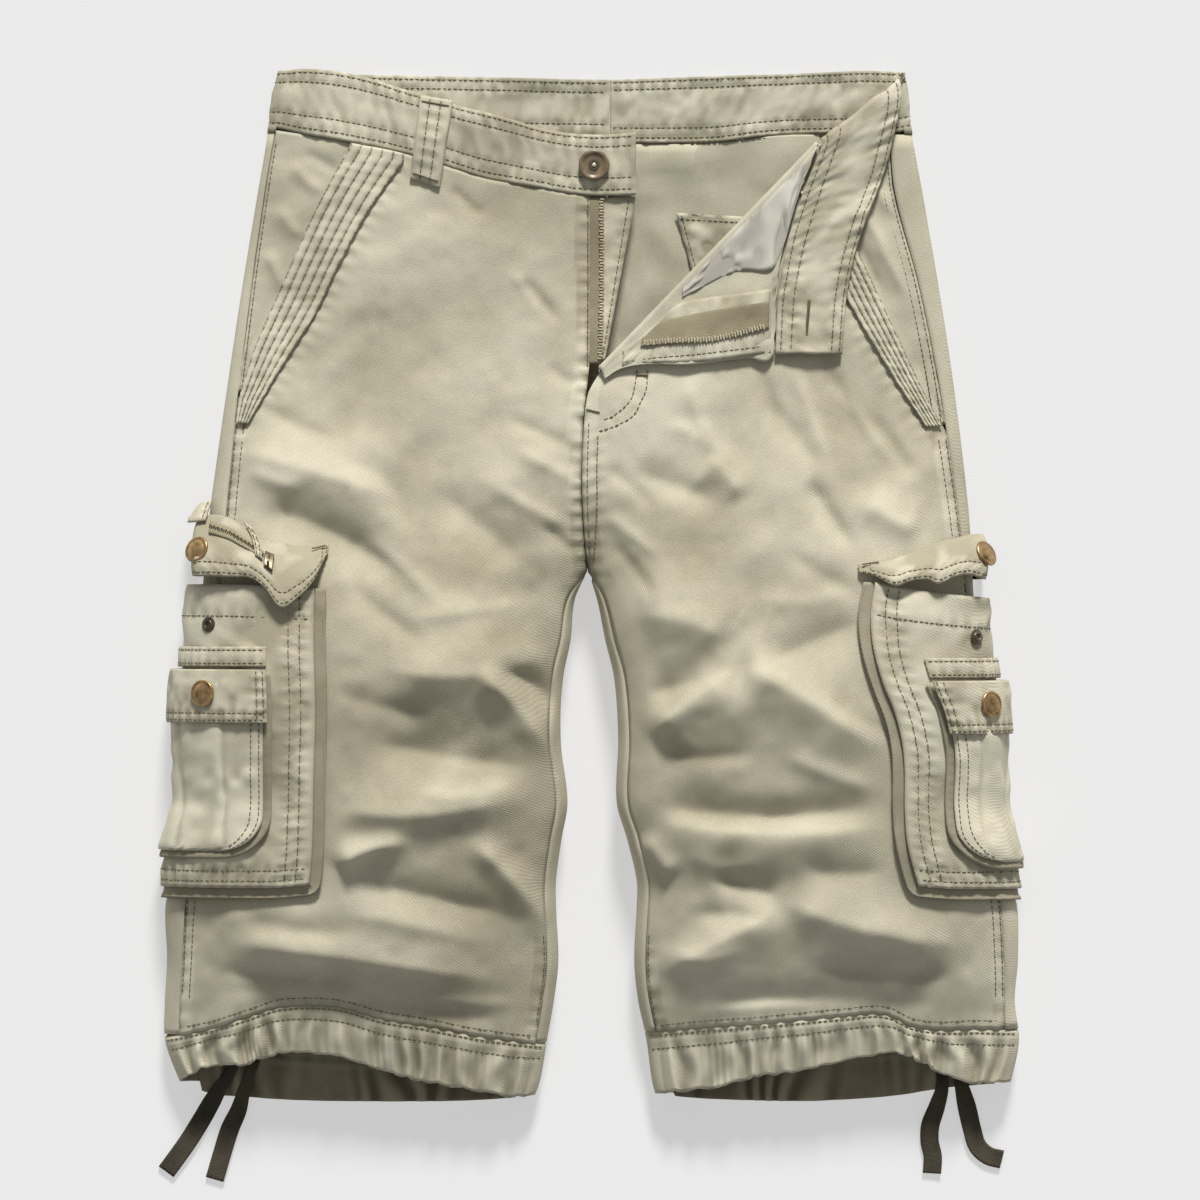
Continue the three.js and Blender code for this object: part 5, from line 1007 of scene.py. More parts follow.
for side, word in SIDES:
    share, across = np.meshgrid(np.linspace(0, 1, 17), np.linspace(0, 1, 300), indexing="ij")
    rise = gather(side, share, across)
    for row, depth in ((0.0, 0.3), (0.05, 0.35), (0.27, 0.55)):
        rise = rise - depth * bell((share - row) * 26, 1.3)
    front = hem_spot(side, share, across, rise - 0.35 * (1 - ease(share / 0.2)))
    front[..., 1] += 0.5 * np.clip(rise, -2, 2) * ease((share - 0.55) / 0.45)
    level = np.linspace(0, 1, 17)
    outer_ref, inner_ref = float(OUTER[side](HEM_LEVEL)), float(INNER[side](HEM_LEVEL))
    arcs = []
    for reference, edge_of, angles in ((outer_ref, OUTER[side], np.radians([15, 30, 45, 60, 75, 90])),
                                       (inner_ref, INNER[side], np.radians([90, 75, 60, 45, 30, 15]))):
        down = mix(float(CASING_TOP[side](reference)), float(HEM_FRONT[side](reference)), level)[:, None]
        edge = edge_height(down)
        toward = -1 if (reference == outer_ref) == (side == LEFT) else 1
        x = edge_of(down) + toward * edge * EDGE_REACH * (1 - np.cos(angles[None]))
        arcs.append(np.stack([x, LENGTH / 2 - down + 0 * x, edge * (1 - np.sin(angles[None]))], -1))
    parts = np.linspace(0, 1, 130)[1:-1]
    x = mix(arcs[0][:, -1:, 0], arcs[1][:, :1, 0], parts[None])
    top = mix(float(CASING_TOP[side](outer_ref)), float(CASING_TOP[side](inner_ref)), parts)
    top = top + BACK_SAG * np.sin(math.pi * parts)
    down = mix(top[None], HEM_BACK[side](x), level[:, None])
    under = np.stack([x, LENGTH / 2 - down, 0.35 + 0.3 * np.sin(x * 0.35)], -1)
    grid = np.concatenate([front, arcs[0], under, arcs[1]], 1)
    normals, _ = facing(grid, (0.5, 0.4), ring=True)
    lip = grid[:1] - normals[:1] * LIP_SINK + np.array([0, LIP_REACH, 0])
    grid = np.concatenate([lip, grid])
    normals, _ = facing(grid, (0.5, 0.4), ring=True)
    # Wear and painted shade: the gathers' crests paler, their hollows darker
    wear_and_shade, waves = np.zeros(grid.shape[:2]), np.zeros(grid.shape[:2])
    wear_and_shade[1:, :300] = np.clip(rise * 0.08, -0.15, 0.15)
    from_column, to_column = 306, 306 + len(parts)
    waves[1:, from_column:to_column] = back_gather(side, level[:, None], parts[None])
    wear_and_shade[:, from_column:to_column] = np.clip(waves[:, from_column:to_column] * 0.2, -0.3, 0.35)
    inner = grid - normals * (CASING_THICK + np.maximum(waves, -1.2))[..., None]
    piece = shell(f"casing_{word}_cloth", grid, CASING_THICK, [TWILL, HEM_INSIDE_SHADED], (0.5, 0.4), ring=True, wear_and_shade=wear_and_shade,
                  inner=inner)
    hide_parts(f"casing_{word}")
    for row in (0.05, 0.27):
        line = np.linspace(0.01, 0.99, 330)
        sew(f"hem_stitches_{word}", hem_spot(side, row, line, gather(side, np.full(330, row), line) - 0.25))


# Waistband
BAND = 2.4
PROUD = 0.6
CORNER_ALONG = (9, 4, 1.5, 0, -2, -4.5)
BAND_CREASE = ((200, 9.5), (149, 48.2))
BAND_BEFORE = ((201, 6), (176, 44.5))
STRIP_SEAM_EDGE = through([(48.2, 149), (97.5, 130.5), (143, 120.5), (186, 118)])
STRIP_TOP_EDGE = through([(10, 202), (40, 196), (71.5, 187.5), (114, 171.5), (149.5, 164), (186.5, 161)])
STRIP_END = 186.0


def back_band(side, share):
    x = mix(side * 199.0, float(CENTRE_BACK(20)) + side * SEAM / 2, np.linspace(0, 1, 9))
    down = mix(BACK_TOP(x), BACK_SEAM(x), share)
    return np.stack([x, LENGTH / 2 - down, 0 * x], 1)


def band_corner(side, share):
    along = np.array(CORNER_ALONG, float)
    down = mix(float(BACK_TOP(side * 205)), float(BACK_SEAM(side * 212)), share)
    return around(side, down, along, np.where(along > 0, PROUD, 0))


def band_spot(x, share):
    x = np.asarray(x, float)
    return top_spot(x, mix(WAIST_TOP(x), WAIST_SEAM(x), share), PROUD)


def strip_spot(part, share, out=0.0):
    top_at, seam_at = mix(BAND_CREASE[0][1], STRIP_END, part), mix(BAND_CREASE[1][1], STRIP_END, part)
    x = mix(STRIP_TOP_EDGE(top_at), STRIP_SEAM_EDGE(seam_at), share)
    return top_spot(np.asarray(x, float), mix(top_at, seam_at, share), PROUD + TURN_GAP + out)


band_rows = {RIGHT: [], LEFT: []}
for share in (0, 0.25, 0.5, 0.75, 1):
    stations = np.array([28, 14, 0, -17, -34, -52, -70, -87, -104, -121, -138, -155, -172, -188], float)
    band_rows[RIGHT].append(np.concatenate([band_spot(stations, share), band_corner(RIGHT, share),
                                            back_band(RIGHT, share)]))
    spots = [back_band(LEFT, share)[::-1], band_corner(LEFT, share)[::-1][:-1]]
    before = [mix(*(line[i] for line in BAND_BEFORE), share) for i in (0, 1)]
    crease = [mix(*(line[i] for line in BAND_CREASE), share) for i in (0, 1)]
    spots.append(top_spot(np.array([before[0]]), np.array([before[1]]), PROUD))
    for angle in np.radians([0, 45, 90, 135, 180]):
        spots.append(rolled([crease[0]], [crease[1]], angle, PROUD))
    spots.append(strip_spot(np.linspace(0, 1, 15)[1:], share))
    band_rows[LEFT].append(np.concatenate(spots))

band_up = {RIGHT: ((0.4, 0.1), True), LEFT: ((0.5, 0.2), False)}
for side, word in SIDES:
    grid, u, v = finer(band_rows[side], 1.7, 2.0)
    wide, long = v[-1], u[-1]
    across, along = np.meshgrid(v, u, indexing="ij")
    gap = np.minimum(across, wide - across)
    relief = 0.5 * noise(along, across, 17, 80 + side) + 0.26 * noise(along, across, 7, 82 + side)
    relief = relief - 0.5 * bell(gap, 1.6) + 0.28 * noise(along + 0.3 * across, across * 0.35, 4.6, 180 + side)
    for row in (2.2, 8, wide - 11.5, wide - 4):
        relief = relief - 0.45 * bell(across - row, 1.3) + pucker(along, across - row, 0.5, 8, 3.8, int(row) + 5)
    lift = relief
    relief = np.maximum(relief, -0.9)
    normals, sign = facing(grid, band_up[side][0], looks_up=band_up[side][1])
    other = 0.6 * noise(along, across, 17, 84 + side) + 0.3 * noise(along, across, 7, 88 + side)
    other = other + 0.34 * noise(along + 0.3 * across, across * 0.35, 4.6, 184 + side)
    for row in (2.2, 8, wide - 11.5, wide - 4):
        other = other - 0.4 * bell(across - row, 1.3) + pucker(along, across - row, 0.55, 8, 3.8, int(row) + 9)
    inner = grid - normals * (BAND + np.clip(other, -1.2, 1.2))[..., None]
    # Wear and painted shade: raised puckers paler, stitch grooves and hollows darker
    piece = shell(f"waistband_{word}_cloth", grid, BAND, [TWILL, TWILL_INSIDE], band_up[side][0],
                  looks_up=band_up[side][1], relief=relief, wear_and_shade=np.clip(lift * 0.3, -0.25, 0.15), inner=inner)
    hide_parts(f"waistband_{word}")
    patches[f"inside_{word}"] = (inner, -normals)
    for row in (2.2, 8, wide - 11.5, wide - 4):
        at = np.linspace(0.005, 0.995, 300)
        sew(f"waist_stitches_{word}", on_patch(f"waistband_{word}_cloth", row / wide, at, 0.12))
        sew(f"waist_inner_stitches_{word}", on_patch(f"inside_{word}", row / wide, at, 0.12))


# Seam allowances behind the waistband's lower edge, in the darker twill: a painted shadow line under the band
SEAM_BEHIND = ((0.9, -2.0), (1.0, 0.4), (0.9, 3.0))
for side, word in SIDES:
    x = mix(side * 199.0, float(CENTRE_BACK(20)) + side * SEAM / 2, np.linspace(0, 1, 60))
    along = np.linspace(8, -4.5, 14)
    corner_down = float(BACK_SEAM(side * 212))
    rows = []
    for top, beyond in SEAM_BEHIND:
        down = BACK_SEAM(x) + beyond
        row = [around(side, corner_down + beyond, along, top - CLOTH),
               np.stack([x, LENGTH / 2 - down, 0 * x + top], 1)]
        rows.append(np.concatenate(row))
    rows = np.array(rows)
    piece = shell(f"waist_allowance_{word}", rows, 0.7, [TWILL_PAINTED_SHADE])


# Facings behind the slanted mouths and the quilted bands along them
FACING_SINK = CLOTH + 0.8
FACING_UNDER = 8.0
FACING_TOP = {
    RIGHT: lambda x: WAIST_SEAM(x) + SEAM,
    LEFT: lambda x: mix(48.2, 40, (x - 149) / (203 - 149)) + 0.6,
}
for side, word in SIDES:
    end = SLANT_END[side] - 5
    part, across = np.meshgrid(np.linspace(0, 1, 76), np.linspace(0, 1, 26), indexing="ij")
    guess = mix(float(FACING_TOP[side](side * 206)), end, part)
    outer = SIDE_SEAM[side](guess) - 2 * side * SEAM
    under = np.clip((guess - 44) * 0.3, 0.5, FACING_UNDER)
    inner = SLANT[side](guess) - side * under
    x = mix(outer, inner, across)
    down = mix(FACING_TOP[side](x), end, part)
    mouth = np.maximum(np.abs(outer - SLANT[side](guess)) - 4, 1)
    sink = FACING_SINK * np.clip(np.abs(x - outer) / mouth, 0, 1)
    seam_gap = np.abs(x - outer)
    grid = top_spot(x, down, -sink - 0.5 * bell(seam_gap, 1.6) + pucker(down, seam_gap, 0.3, 9, 4, 24))
    piece = shell(f"pocket_facing_{word}_cloth", grid, CLOTH, [TWILL])
    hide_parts(f"pocket_facing_{word}")

LAY = 0.4
RIBS = 5
band_inner = {
    RIGHT: through([(57, -122), (90, -142.5), (130, -163.5), (163, -179.5), (202, -204.5), (230, -222)]),
    LEFT: through([(78, 133), (108, 145), (151.5, 165.4), (200, 194), (232, 215)]),
}
band_from, band_to = {RIGHT: 58.0, LEFT: 80.0}, {RIGHT: 230.0, LEFT: 232.0}
for side, word in SIDES:
    def mouth_band_spot(part, across, out):
        guess = mix(52.0 if side == RIGHT else band_from[side], band_to[side], part)
        outer = outer_seam(side, guess) - side * 0.8
        x = mix(outer, band_inner[side](guess), across)
        start = WAIST_SEAM(x) + 2 * SEAM if side == RIGHT else band_from[side]
        return top_spot(x, mix(start, band_to[side], part), 2 * LAY + CLOTH + out)

    part, across = np.meshgrid(np.linspace(0, 1, 110), np.linspace(0, 1, 51), indexing="ij")
    ribs = np.abs(np.sin(math.pi * RIBS * across)) ** 0.7
    long = 185.0 * part
    wave = np.sin(long / 7.5 * 2 * math.pi + 3 * noise(long, across * 20, 22, 100 + side))
    relief = 0.85 * ribs - 0.35 + 0.3 * wave * (1 - ribs * 0.6) + 0.2 * noise(long, across * 34, 6, 102 + side)
    # Wear and painted shade: the ribs paler, the grooves between them darker
    piece = shell(f"mouth_band_{word}_cloth", mouth_band_spot(part, across, relief), CLOTH, [TWILL],
                  wear_and_shade=np.clip((relief - 0.3) * 0.45, -0.35, 0.25))
    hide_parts(f"mouth_band_{word}")
    line = np.linspace(0, 1, 160)
    for row in (0.025, 0.2, 0.4, 0.6, 0.8, 0.975):
        sew(f"mouth_stitches_{word}", mouth_band_spot(line, np.full(160, row), -0.12), pitch=3.3)


# Patches laid over the fronts: rows from the upper edge to the lower edge
def patch_rows(upper, lower, rows, out):
    upper, lower = np.array(upper, float), np.array(lower, float)
    made_rows = []
    for part in np.linspace(0, 1, rows):
        line = mix(upper, lower, part)
        made_rows.append(top_spot(line[:, 0], line[:, 1], out(part)))
    return np.array(made_rows)


def spread(start, end, count):
    share = np.linspace(0, 1, count)[:, None]
    return mix(np.array(start, float), np.array(end, float), share)


def patch(name, rows, cell, thick, materials, slot, bumps=0.12, seed=1, edge=0.35, rows_of_sewing=(),
          up=(0.5, 0.5)):
    """A sheet from coarse rows, a little uneven, with soft edges and sewing at given distances from them."""
    grid, u, v = finer(rows, cell)
    across, along = np.meshgrid(v, u, indexing="ij")
    relief = bumps * noise(along, across, 11, seed) + bumps * 0.6 * noise(along, across, 5, seed + 1)
    relief = relief + edge_draw(along, across, u[-1], v[-1], 1.4, edge)
    for way, distance in rows_of_sewing:
        gap = {"left": along, "right": u[-1] - along, "top": across, "bottom": v[-1] - across}[way] - distance
        run = across if way in ("left", "right") else along
        relief = relief - 0.4 * bell(gap, 1.2) + pucker(run, gap, 0.3, 8, 3.5, seed + 3)
    # Wear and painted shade: raised spots paler, edges and stitch grooves darker
    wear_and_shade = np.clip(relief * 0.4, -0.3, 0.2)
    piece = shell(name + "_cloth", grid, thick, materials, up, relief=relief, wear_and_shade=wear_and_shade)
    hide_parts(name)
    for way, distance in rows_of_sewing:
        at = np.linspace(0.02, 0.98, 160)
        if way in ("left", "right"):
            share = distance / u[-1] if way == "left" else 1 - distance / u[-1]
            sew(name + "_stitches", on_patch(name + "_cloth", at, share, 0.1))
        else:
            share = distance / v[-1] if way == "top" else 1 - distance / v[-1]
            sew(name + "_stitches", on_patch(name + "_cloth", share, at, 0.1))
    return piece


LOOP_THICK = 1.8
patch("belt_loop", patch_rows(spread((-111.5, 17.5), (-90.5, 21), 4), spread((-118, 71.5), (-99, 78), 4), 9,
                              lambda part: PROUD + LAY + LOOP_THICK + 2.4 * math.sin(math.pi * part)),
      1.3, LOOP_THICK, [TWILL], "twill", seed=5, rows_of_sewing=(("left", 6.5), ("left", 13.5)))
TAPE_SINK = CLOTH + LAY
BAG = 0.8
patch("zip_tape_right", patch_rows(spread((-8, 83.5), (6.8, 83.2), 3), spread((-8, 192), (6, 192), 3), 7,
                                   lambda part: -TAPE_SINK), 2.0, BAG, [ZIP_TAPE], "zip_tape", seed=6)
patch("fly_underlap", patch_rows([(-9, 83.5), (10, 83.4), (28, 83)], [(-9, 190), (0, 191), (8, 190)], 5,
                                 lambda part: -TAPE_SINK - BAG - LAY), 2.2, 1.6, [TWILL], "twill", seed=8, bumps=0.22,
      rows_of_sewing=(("right", 3.0),))

TURNED_TOP = TURN_GAP + CLOTH
BAG_UPPER = ((58, 142.5), (75, 125), (95, 104), (112, 87), (122, 76.5), (131, 67), (138, 60.5))
BAG_LOWER = ((58, 149.5), (75, 140), (95, 131.5), (115, 131), (122.5, 118), (129.5, 95), (135.5, 76))
patch("pocket_bag", patch_rows(BAG_UPPER, BAG_LOWER, 5, lambda part: TURNED_TOP + LAY + BAG), 1.8, BAG,
      [POCKETING], "pocketing", seed=10, bumps=0.9)
FACING_UPPER = ((20, 185), (28, 177.5), (40, 167), (56, 153), (75, 149), (95, 146.5), (115, 143.5))
FACING_LOWER = ((19, 193), (28, 191.5), (41, 191), (57, 191.5), (75, 190), (95, 187.5), (115, 185))
patch("fly_facing", patch_rows(FACING_UPPER, FACING_LOWER, 5, lambda part: TURNED_TOP + LAY + BAG), 1.8, BAG,
      [TWILL_INSIDE], "twill_inside", seed=12, bumps=0.3, rows_of_sewing=(("bottom", 3.5),))
ZIP_UPPER = ((32, 176), (44, 165.5), (60, 161), (78, 157.5), (96, 154.5), (114, 151.8))
ZIP_LOWER = ((31, 181), (44, 180), (60, 179), (78, 178), (96, 174), (114, 169.5))
patch("zip_tape_left", patch_rows(ZIP_UPPER, ZIP_LOWER, 4, lambda part: TURNED_TOP + 2 * (LAY + BAG)), 1.5, BAG,
      [ZIP_TAPE], "zip_tape", seed=14)
bag_rows = []
for part in np.linspace(0, 1, 5):
    across = np.linspace(0, 1, 5)
    x = mix(mix(54.0, 125, across), mix(70.0, 125, across), part)
    down = mix(mix(93.0, 97, across), 150.0, part)
    bag_rows.append(np.stack([x, LENGTH / 2 - down, np.full(5, CLOTH + LAY + BAG + 1.6)], -1))
patch("back_pocket_bag", bag_rows, 2.2, BAG, [TWILL_INSIDE], "twill_inside", seed=16, bumps=0.7,
      rows_of_sewing=(("top", 4.0), ("left", 3.0)))


# Cargo pockets. "across" runs round the side from the face's front edge, "below" is the distance from its mouth
POCKET_WIDTH = 165.0
POCKET_BOTTOM = 529.0
POCKET_LIFT = 3.6
FRONT_DEPTH = 7.0
FACE_FRONT = {
    RIGHT: through([(333, -178.4), (373, -178.4), (415, -177.3), (461, -178.4), (506, -179.5), (532, -182)]),
    LEFT: through([(333, 181.5), (351, 178.5), (373, 179.5), (398, 186), (415, 193), (434, 198), (452, 199.9),
                   (479, 200), (502, 202), (532, 210)]),
}
MOUTH = {
    RIGHT: through([(0, 337), (0.3, 334.5), (0.6, 334.5), (1, 336)]),
    LEFT: through([(0, 333), (0.2, 339), (0.45, 343), (0.6, 344), (1, 342)]),
}
FACE_BOTTOM = {
    RIGHT: through([(0, POCKET_BOTTOM - 2), (0.15, POCKET_BOTTOM), (1, POCKET_BOTTOM)]),
    LEFT: through([(0, POCKET_BOTTOM - 1), (0.15, POCKET_BOTTOM + 1), (1, POCKET_BOTTOM + 2)]),
}
FACE_DEPTH = through([(335, 11), (370, 9.5), (400, 9.5), (430, 8), (455, 5), (475, 3.2), (495, 6), (515, 8),
                      (532, 6.5)])
front_places = np.arange(290.0, 560.0, 2.0)
front_alongs = {side: along_at(side, front_places, FACE_FRONT[side](front_places), FRONT_DEPTH)
                for side, _ in SIDES}


def face_front(side, down):
    return np.interp(down, front_places, front_alongs[side])


def face_depth(across, down):
    swell = mix(FRONT_DEPTH, FACE_DEPTH(down), ease(across / 0.22))
    return mix(swell, POCKET_LIFT, ease((across - 0.6) / 0.22))


def on_face(side, across, down, out=0.0):
    return around(side, down, face_front(side, down) - POCKET_WIDTH * across, face_depth(across, down) + out)


def face_down(side, across, part):
    return mix(MOUTH[side](across), FACE_BOTTOM[side](across), part)


for side, word in SIDES:
    part, across = np.meshgrid(np.linspace(0, 1, 84), np.linspace(0, 1, 76), indexing="ij")
    down = face_down(side, across, part)
    wide, long = across * POCKET_WIDTH, down - MOUTH[side](across)
    to_bottom = FACE_BOTTOM[side](across) - down
    relief = 1.0 * noise(wide, long, 28, 120 + side) + 0.6 * noise(wide + 0.5 * long, long, 12, 122 + side)
    relief = relief * ease(to_bottom / 16) * ease(long / 8) * ease(wide / 10)
    for gap, seed in ((wide - 16, 31), (wide - 9, 32), (to_bottom - 11, 33), (to_bottom - 4.5, 34),
                      (long - 20, 35)):
        run = long if seed < 33 else wide
        relief = relief - 0.45 * bell(gap, 1.4) + pucker(run, gap, 0.6, 8, 5, seed)
    relief = relief - 0.5 * bell(np.minimum(np.minimum(wide, long), to_bottom), 1.8)
    relief = relief * ease((0.86 - across) / 0.2)
    grid = on_face(side, across, down)
    # Wear and painted shade: crests paler, stitch grooves and hollows darker
    piece = shell(f"cargo_face_{word}_cloth", grid, CLOTH, [TWILL, TWILL_INSIDE], (0.5, 0.12),
                  relief=relief, wear_and_shade=np.clip(relief * 0.22, -0.25, 0.2))
    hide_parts(f"cargo_face_{word}")
    line = np.linspace(0.01, 0.985, 170)
    for column_at in (9.0, 16.0):
        sew(f"cargo_stitches_{word}", on_patch(f"cargo_face_{word}_cloth", line, column_at / POCKET_WIDTH, 0.12))
    line = np.linspace(0.02, 0.7, 170)
    for row_at in (4.5, 11.0):
        sew(f"cargo_stitches_{word}", on_patch(f"cargo_face_{word}_cloth", 1 - row_at / 192, line, 0.12))
    sew(f"cargo_stitches_{word}", on_patch(f"cargo_face_{word}_cloth", 20 / 192, line, 0.12))

    # The gusset between the leg and the face, coloured in the darker twill as painted shade
    tall = [face_down(side, 0.0, p) * 0 + p for p in np.linspace(0, 1, 12)]
    stations = [(0.0, p, 1.0, 0.0) for p in tall]
    stations += [(0.0, 1.0, math.cos(a), math.sin(a)) for a in np.radians([25, 45, 65])]
    stations += [(c, 1.0, 0.0, 1.0) for c in np.linspace(0, 1, 30)]
    stations += [(1.0, 1.0, -math.cos(a), math.sin(a)) for a in np.radians([65, 45, 25])]
    stations += [(1.0, p, -1.0, 0.0) for p in tall[::-1]]
    stations = np.array(stations)
    across, part, push_x, push_y = stations.T
    base = face_down(side, across, part)
    start = face_front(side, base) - POCKET_WIDTH * across
    pressed = ease((-start - 20) / 14)
    rows = []
    for reach, reach_pressed, level, swell in ((6.5, 6.5, 0, 0), (7.2, 4.5, 0.28, 0.5), (7.3, 2.5, 0.55, 0.4),
                                               (4.0, 1.0, 0.86, -0.6), (-1.2, -1, 1, 0)):
        spread_by = mix(reach, reach_pressed, pressed)
        foot = mix(CLOTH + 1.8, CLOTH + 0.5, pressed)
        top = face_depth(across, base) - CLOTH - mix(1.5, 0.7, pressed)
        out = mix(foot, np.maximum(top, foot), level) + swell * (1 - pressed)
        spot = around(side, base + push_y * spread_by, start + push_x * spread_by, out)
        spot[:, 2] = np.maximum(spot[:, 2], CLOTH + 1.05)
        rows.append(spot)
    grid, u, v = finer(rows, 1.8, 2.4)
    across_v, along_u = np.meshgrid(v, u, indexing="ij")
    relief = 0.3 * noise(along_u, across_v, 9, 130 + side) * ease(np.minimum(across_v, v[-1] - across_v) / 3)
    piece = shell(f"cargo_gusset_{word}_cloth", grid, CLOTH, [TWILL_PAINTED_SHADE, TWILL_PAINTED_SHADE], (0.5, 0.06),
                  relief=relief)
    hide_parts(f"cargo_gusset_{word}")


# Flaps: x, down of the upper and lower edge, and how far those stand off the leg, then stations under the leg
FLAP_THICK = 1.6
# Painted shade: the flaps' colour is darkened, as they face the key light and would show too bright
FLAP_PAINTED_SHADE = 0.3
FLAPS = {
    RIGHT: ((-169.5, 308.5, 313, 2.7, 4), (-178, 308.8, 331, 2.4, 12), (-189, 309, 343, 2.6, 15),
            (-199, 308, 349, 3, 16), (-209.5, 306, 336.5, 4, 17), (-219, 300.5, 330, 5, 17),
            (-231, 292.5, 329.5, 6, 17), (-244, 289, 329, 8, 18), (-255, 290.5, 329, 10, 19)),
    LEFT: ((170.5, 321.5, 326, 2.4, 4), (181, 319.5, 328.5, 2.1, 9), (193.5, 317, 335, 2.2, 15),
           (204, 313.5, 332, 4, 16), (215, 309.5, 331, 5, 16), (222, 307, 334, 6, 17), (232, 304.5, 329.5, 7, 17),
           (242, 302, 328, 8, 17.5), (252, 302, 331, 9, 18)),
}
FLAP_UNDER = ((-9, 10, 17), (-22, 8, 12), (-38, 3.6, 3.6), (-56, 3.6, 3.6), (-74, 3.6, 3.6))
flap_tables = {}
for side, word in SIDES:
    seen = np.array(FLAPS[side], float)
    x, top, bottom, out_top, out_bottom = seen.T
    shown = np.stack([top, bottom, out_top, out_bottom, along_at(side, top, x, out_top),
                      along_at(side, bottom, x, out_bottom)], 1)
    under = np.array([(top[-1], bottom[-1], a, b, along, along) for along, a, b in FLAP_UNDER])
    flap_tables[side] = np.concatenate([shown, under])


def on_flap(side, station, part, out=0.0):
    table = flap_tables[side]
    station, part = np.broadcast_arrays(np.asarray(station, float), np.asarray(part, float))
    places = np.arange(len(table))
    top, bottom, out_top, out_bottom, along_top, along_bottom = (np.interp(station, places, c) for c in table.T)
    is_under = (out_top < 3.7) & (along_top < 0)
    bulge = np.where(is_under, 0, 2.5 * np.sin(math.pi * part) * ease(station / 2))
    return around(side, mix(top, bottom, part), mix(along_top, along_bottom, part),
                  mix(out_top, out_bottom, part) + bulge + out)


for side, word in SIDES:
    rows = [on_flap(side, np.arange(14), part) for part in np.linspace(0, 1, 9)]
    grid, u, v = finer(rows, 1.5, 1.9)
    across, along = np.meshgrid(v, u, indexing="ij")
    relief = 0.5 * noise(along, across, 15, 140 + side) + 0.25 * noise(along, across, 7, 142 + side)
    relief = relief + edge_draw(along, across, u[-1], v[-1], 1.6, 0.5)
    for distance, seed in ((2.2, 41), (8.0, 42)):
        gap = np.minimum(v[-1] - across, along) - distance
        relief = relief - 0.4 * bell(gap, 1.3) + pucker(along + across, gap, 0.3, 8.5, 4, seed)
    relief = np.maximum(relief * ease((u[-1] - along) / 70), -0.9)
    # Wear and painted shade: raised spots paler, grooves darker, and the whole flap darkened by the constant above
    piece = shell(f"cargo_flap_{word}_cloth", grid, FLAP_THICK, [TWILL, TWILL_INSIDE], (0.5, 0.3), relief=relief,
                  wear_and_shade=np.clip(relief * 0.35, -0.3, 0.22) - FLAP_PAINTED_SHADE)
    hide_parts(f"cargo_flap_{word}")
    for distance in (2.2, 8.0):
        low = 1 - distance / v[-1]
        at = np.linspace(distance / u[-1], 0.78, 200)
        sew(f"flap_stitches_{word}", on_patch(f"cargo_flap_{word}_cloth", low, at, 0.14))
        side_at = np.linspace(0.08, low, 40)
        sew(f"flap_stitches_{word}", on_patch(f"cargo_flap_{word}_cloth", side_at, distance / u[-1], 0.14))


# Small bellows pockets on the faces
SMALL_FROM = 0.19
SMALL_FAR = -7.0
SMALL_TOP, SMALL_BOTTOM = 57.0, 171.0
SMALL_GUSSET_OUT = CLOTH + 1.4
SMALL_EDGE_OUT = SMALL_GUSSET_OUT + 2 * LAY + CLOTH
SMALL_CORNER = 24.0
# Painted light: the small pockets are coloured paler than the same cloth elsewhere
SMALL_PAINTED_LIGHT = 0.25


def on_small(side, part, below, out):
    down = MOUTH[side](0.35) + np.asarray(below, float)
    far = (face_front(side, down) - SMALL_FAR) / POCKET_WIDTH
    return on_face(side, mix(SMALL_FROM, far, part), down, out)


small_width = {side: float(face_front(side, float(MOUTH[side](0.35)) + 110)) - SMALL_FAR
               - SMALL_FROM * POCKET_WIDTH
               for side, _ in SIDES}


def small_out(part, below):
    sideways = np.sin(math.pi * np.clip(part, 0, 1))
    downwards = np.sin(math.pi * np.clip((below - SMALL_TOP) / (SMALL_BOTTOM - SMALL_TOP), 0.12, 1))
    return SMALL_EDGE_OUT + 2.4 * np.sqrt(np.maximum(sideways * downwards, 0))


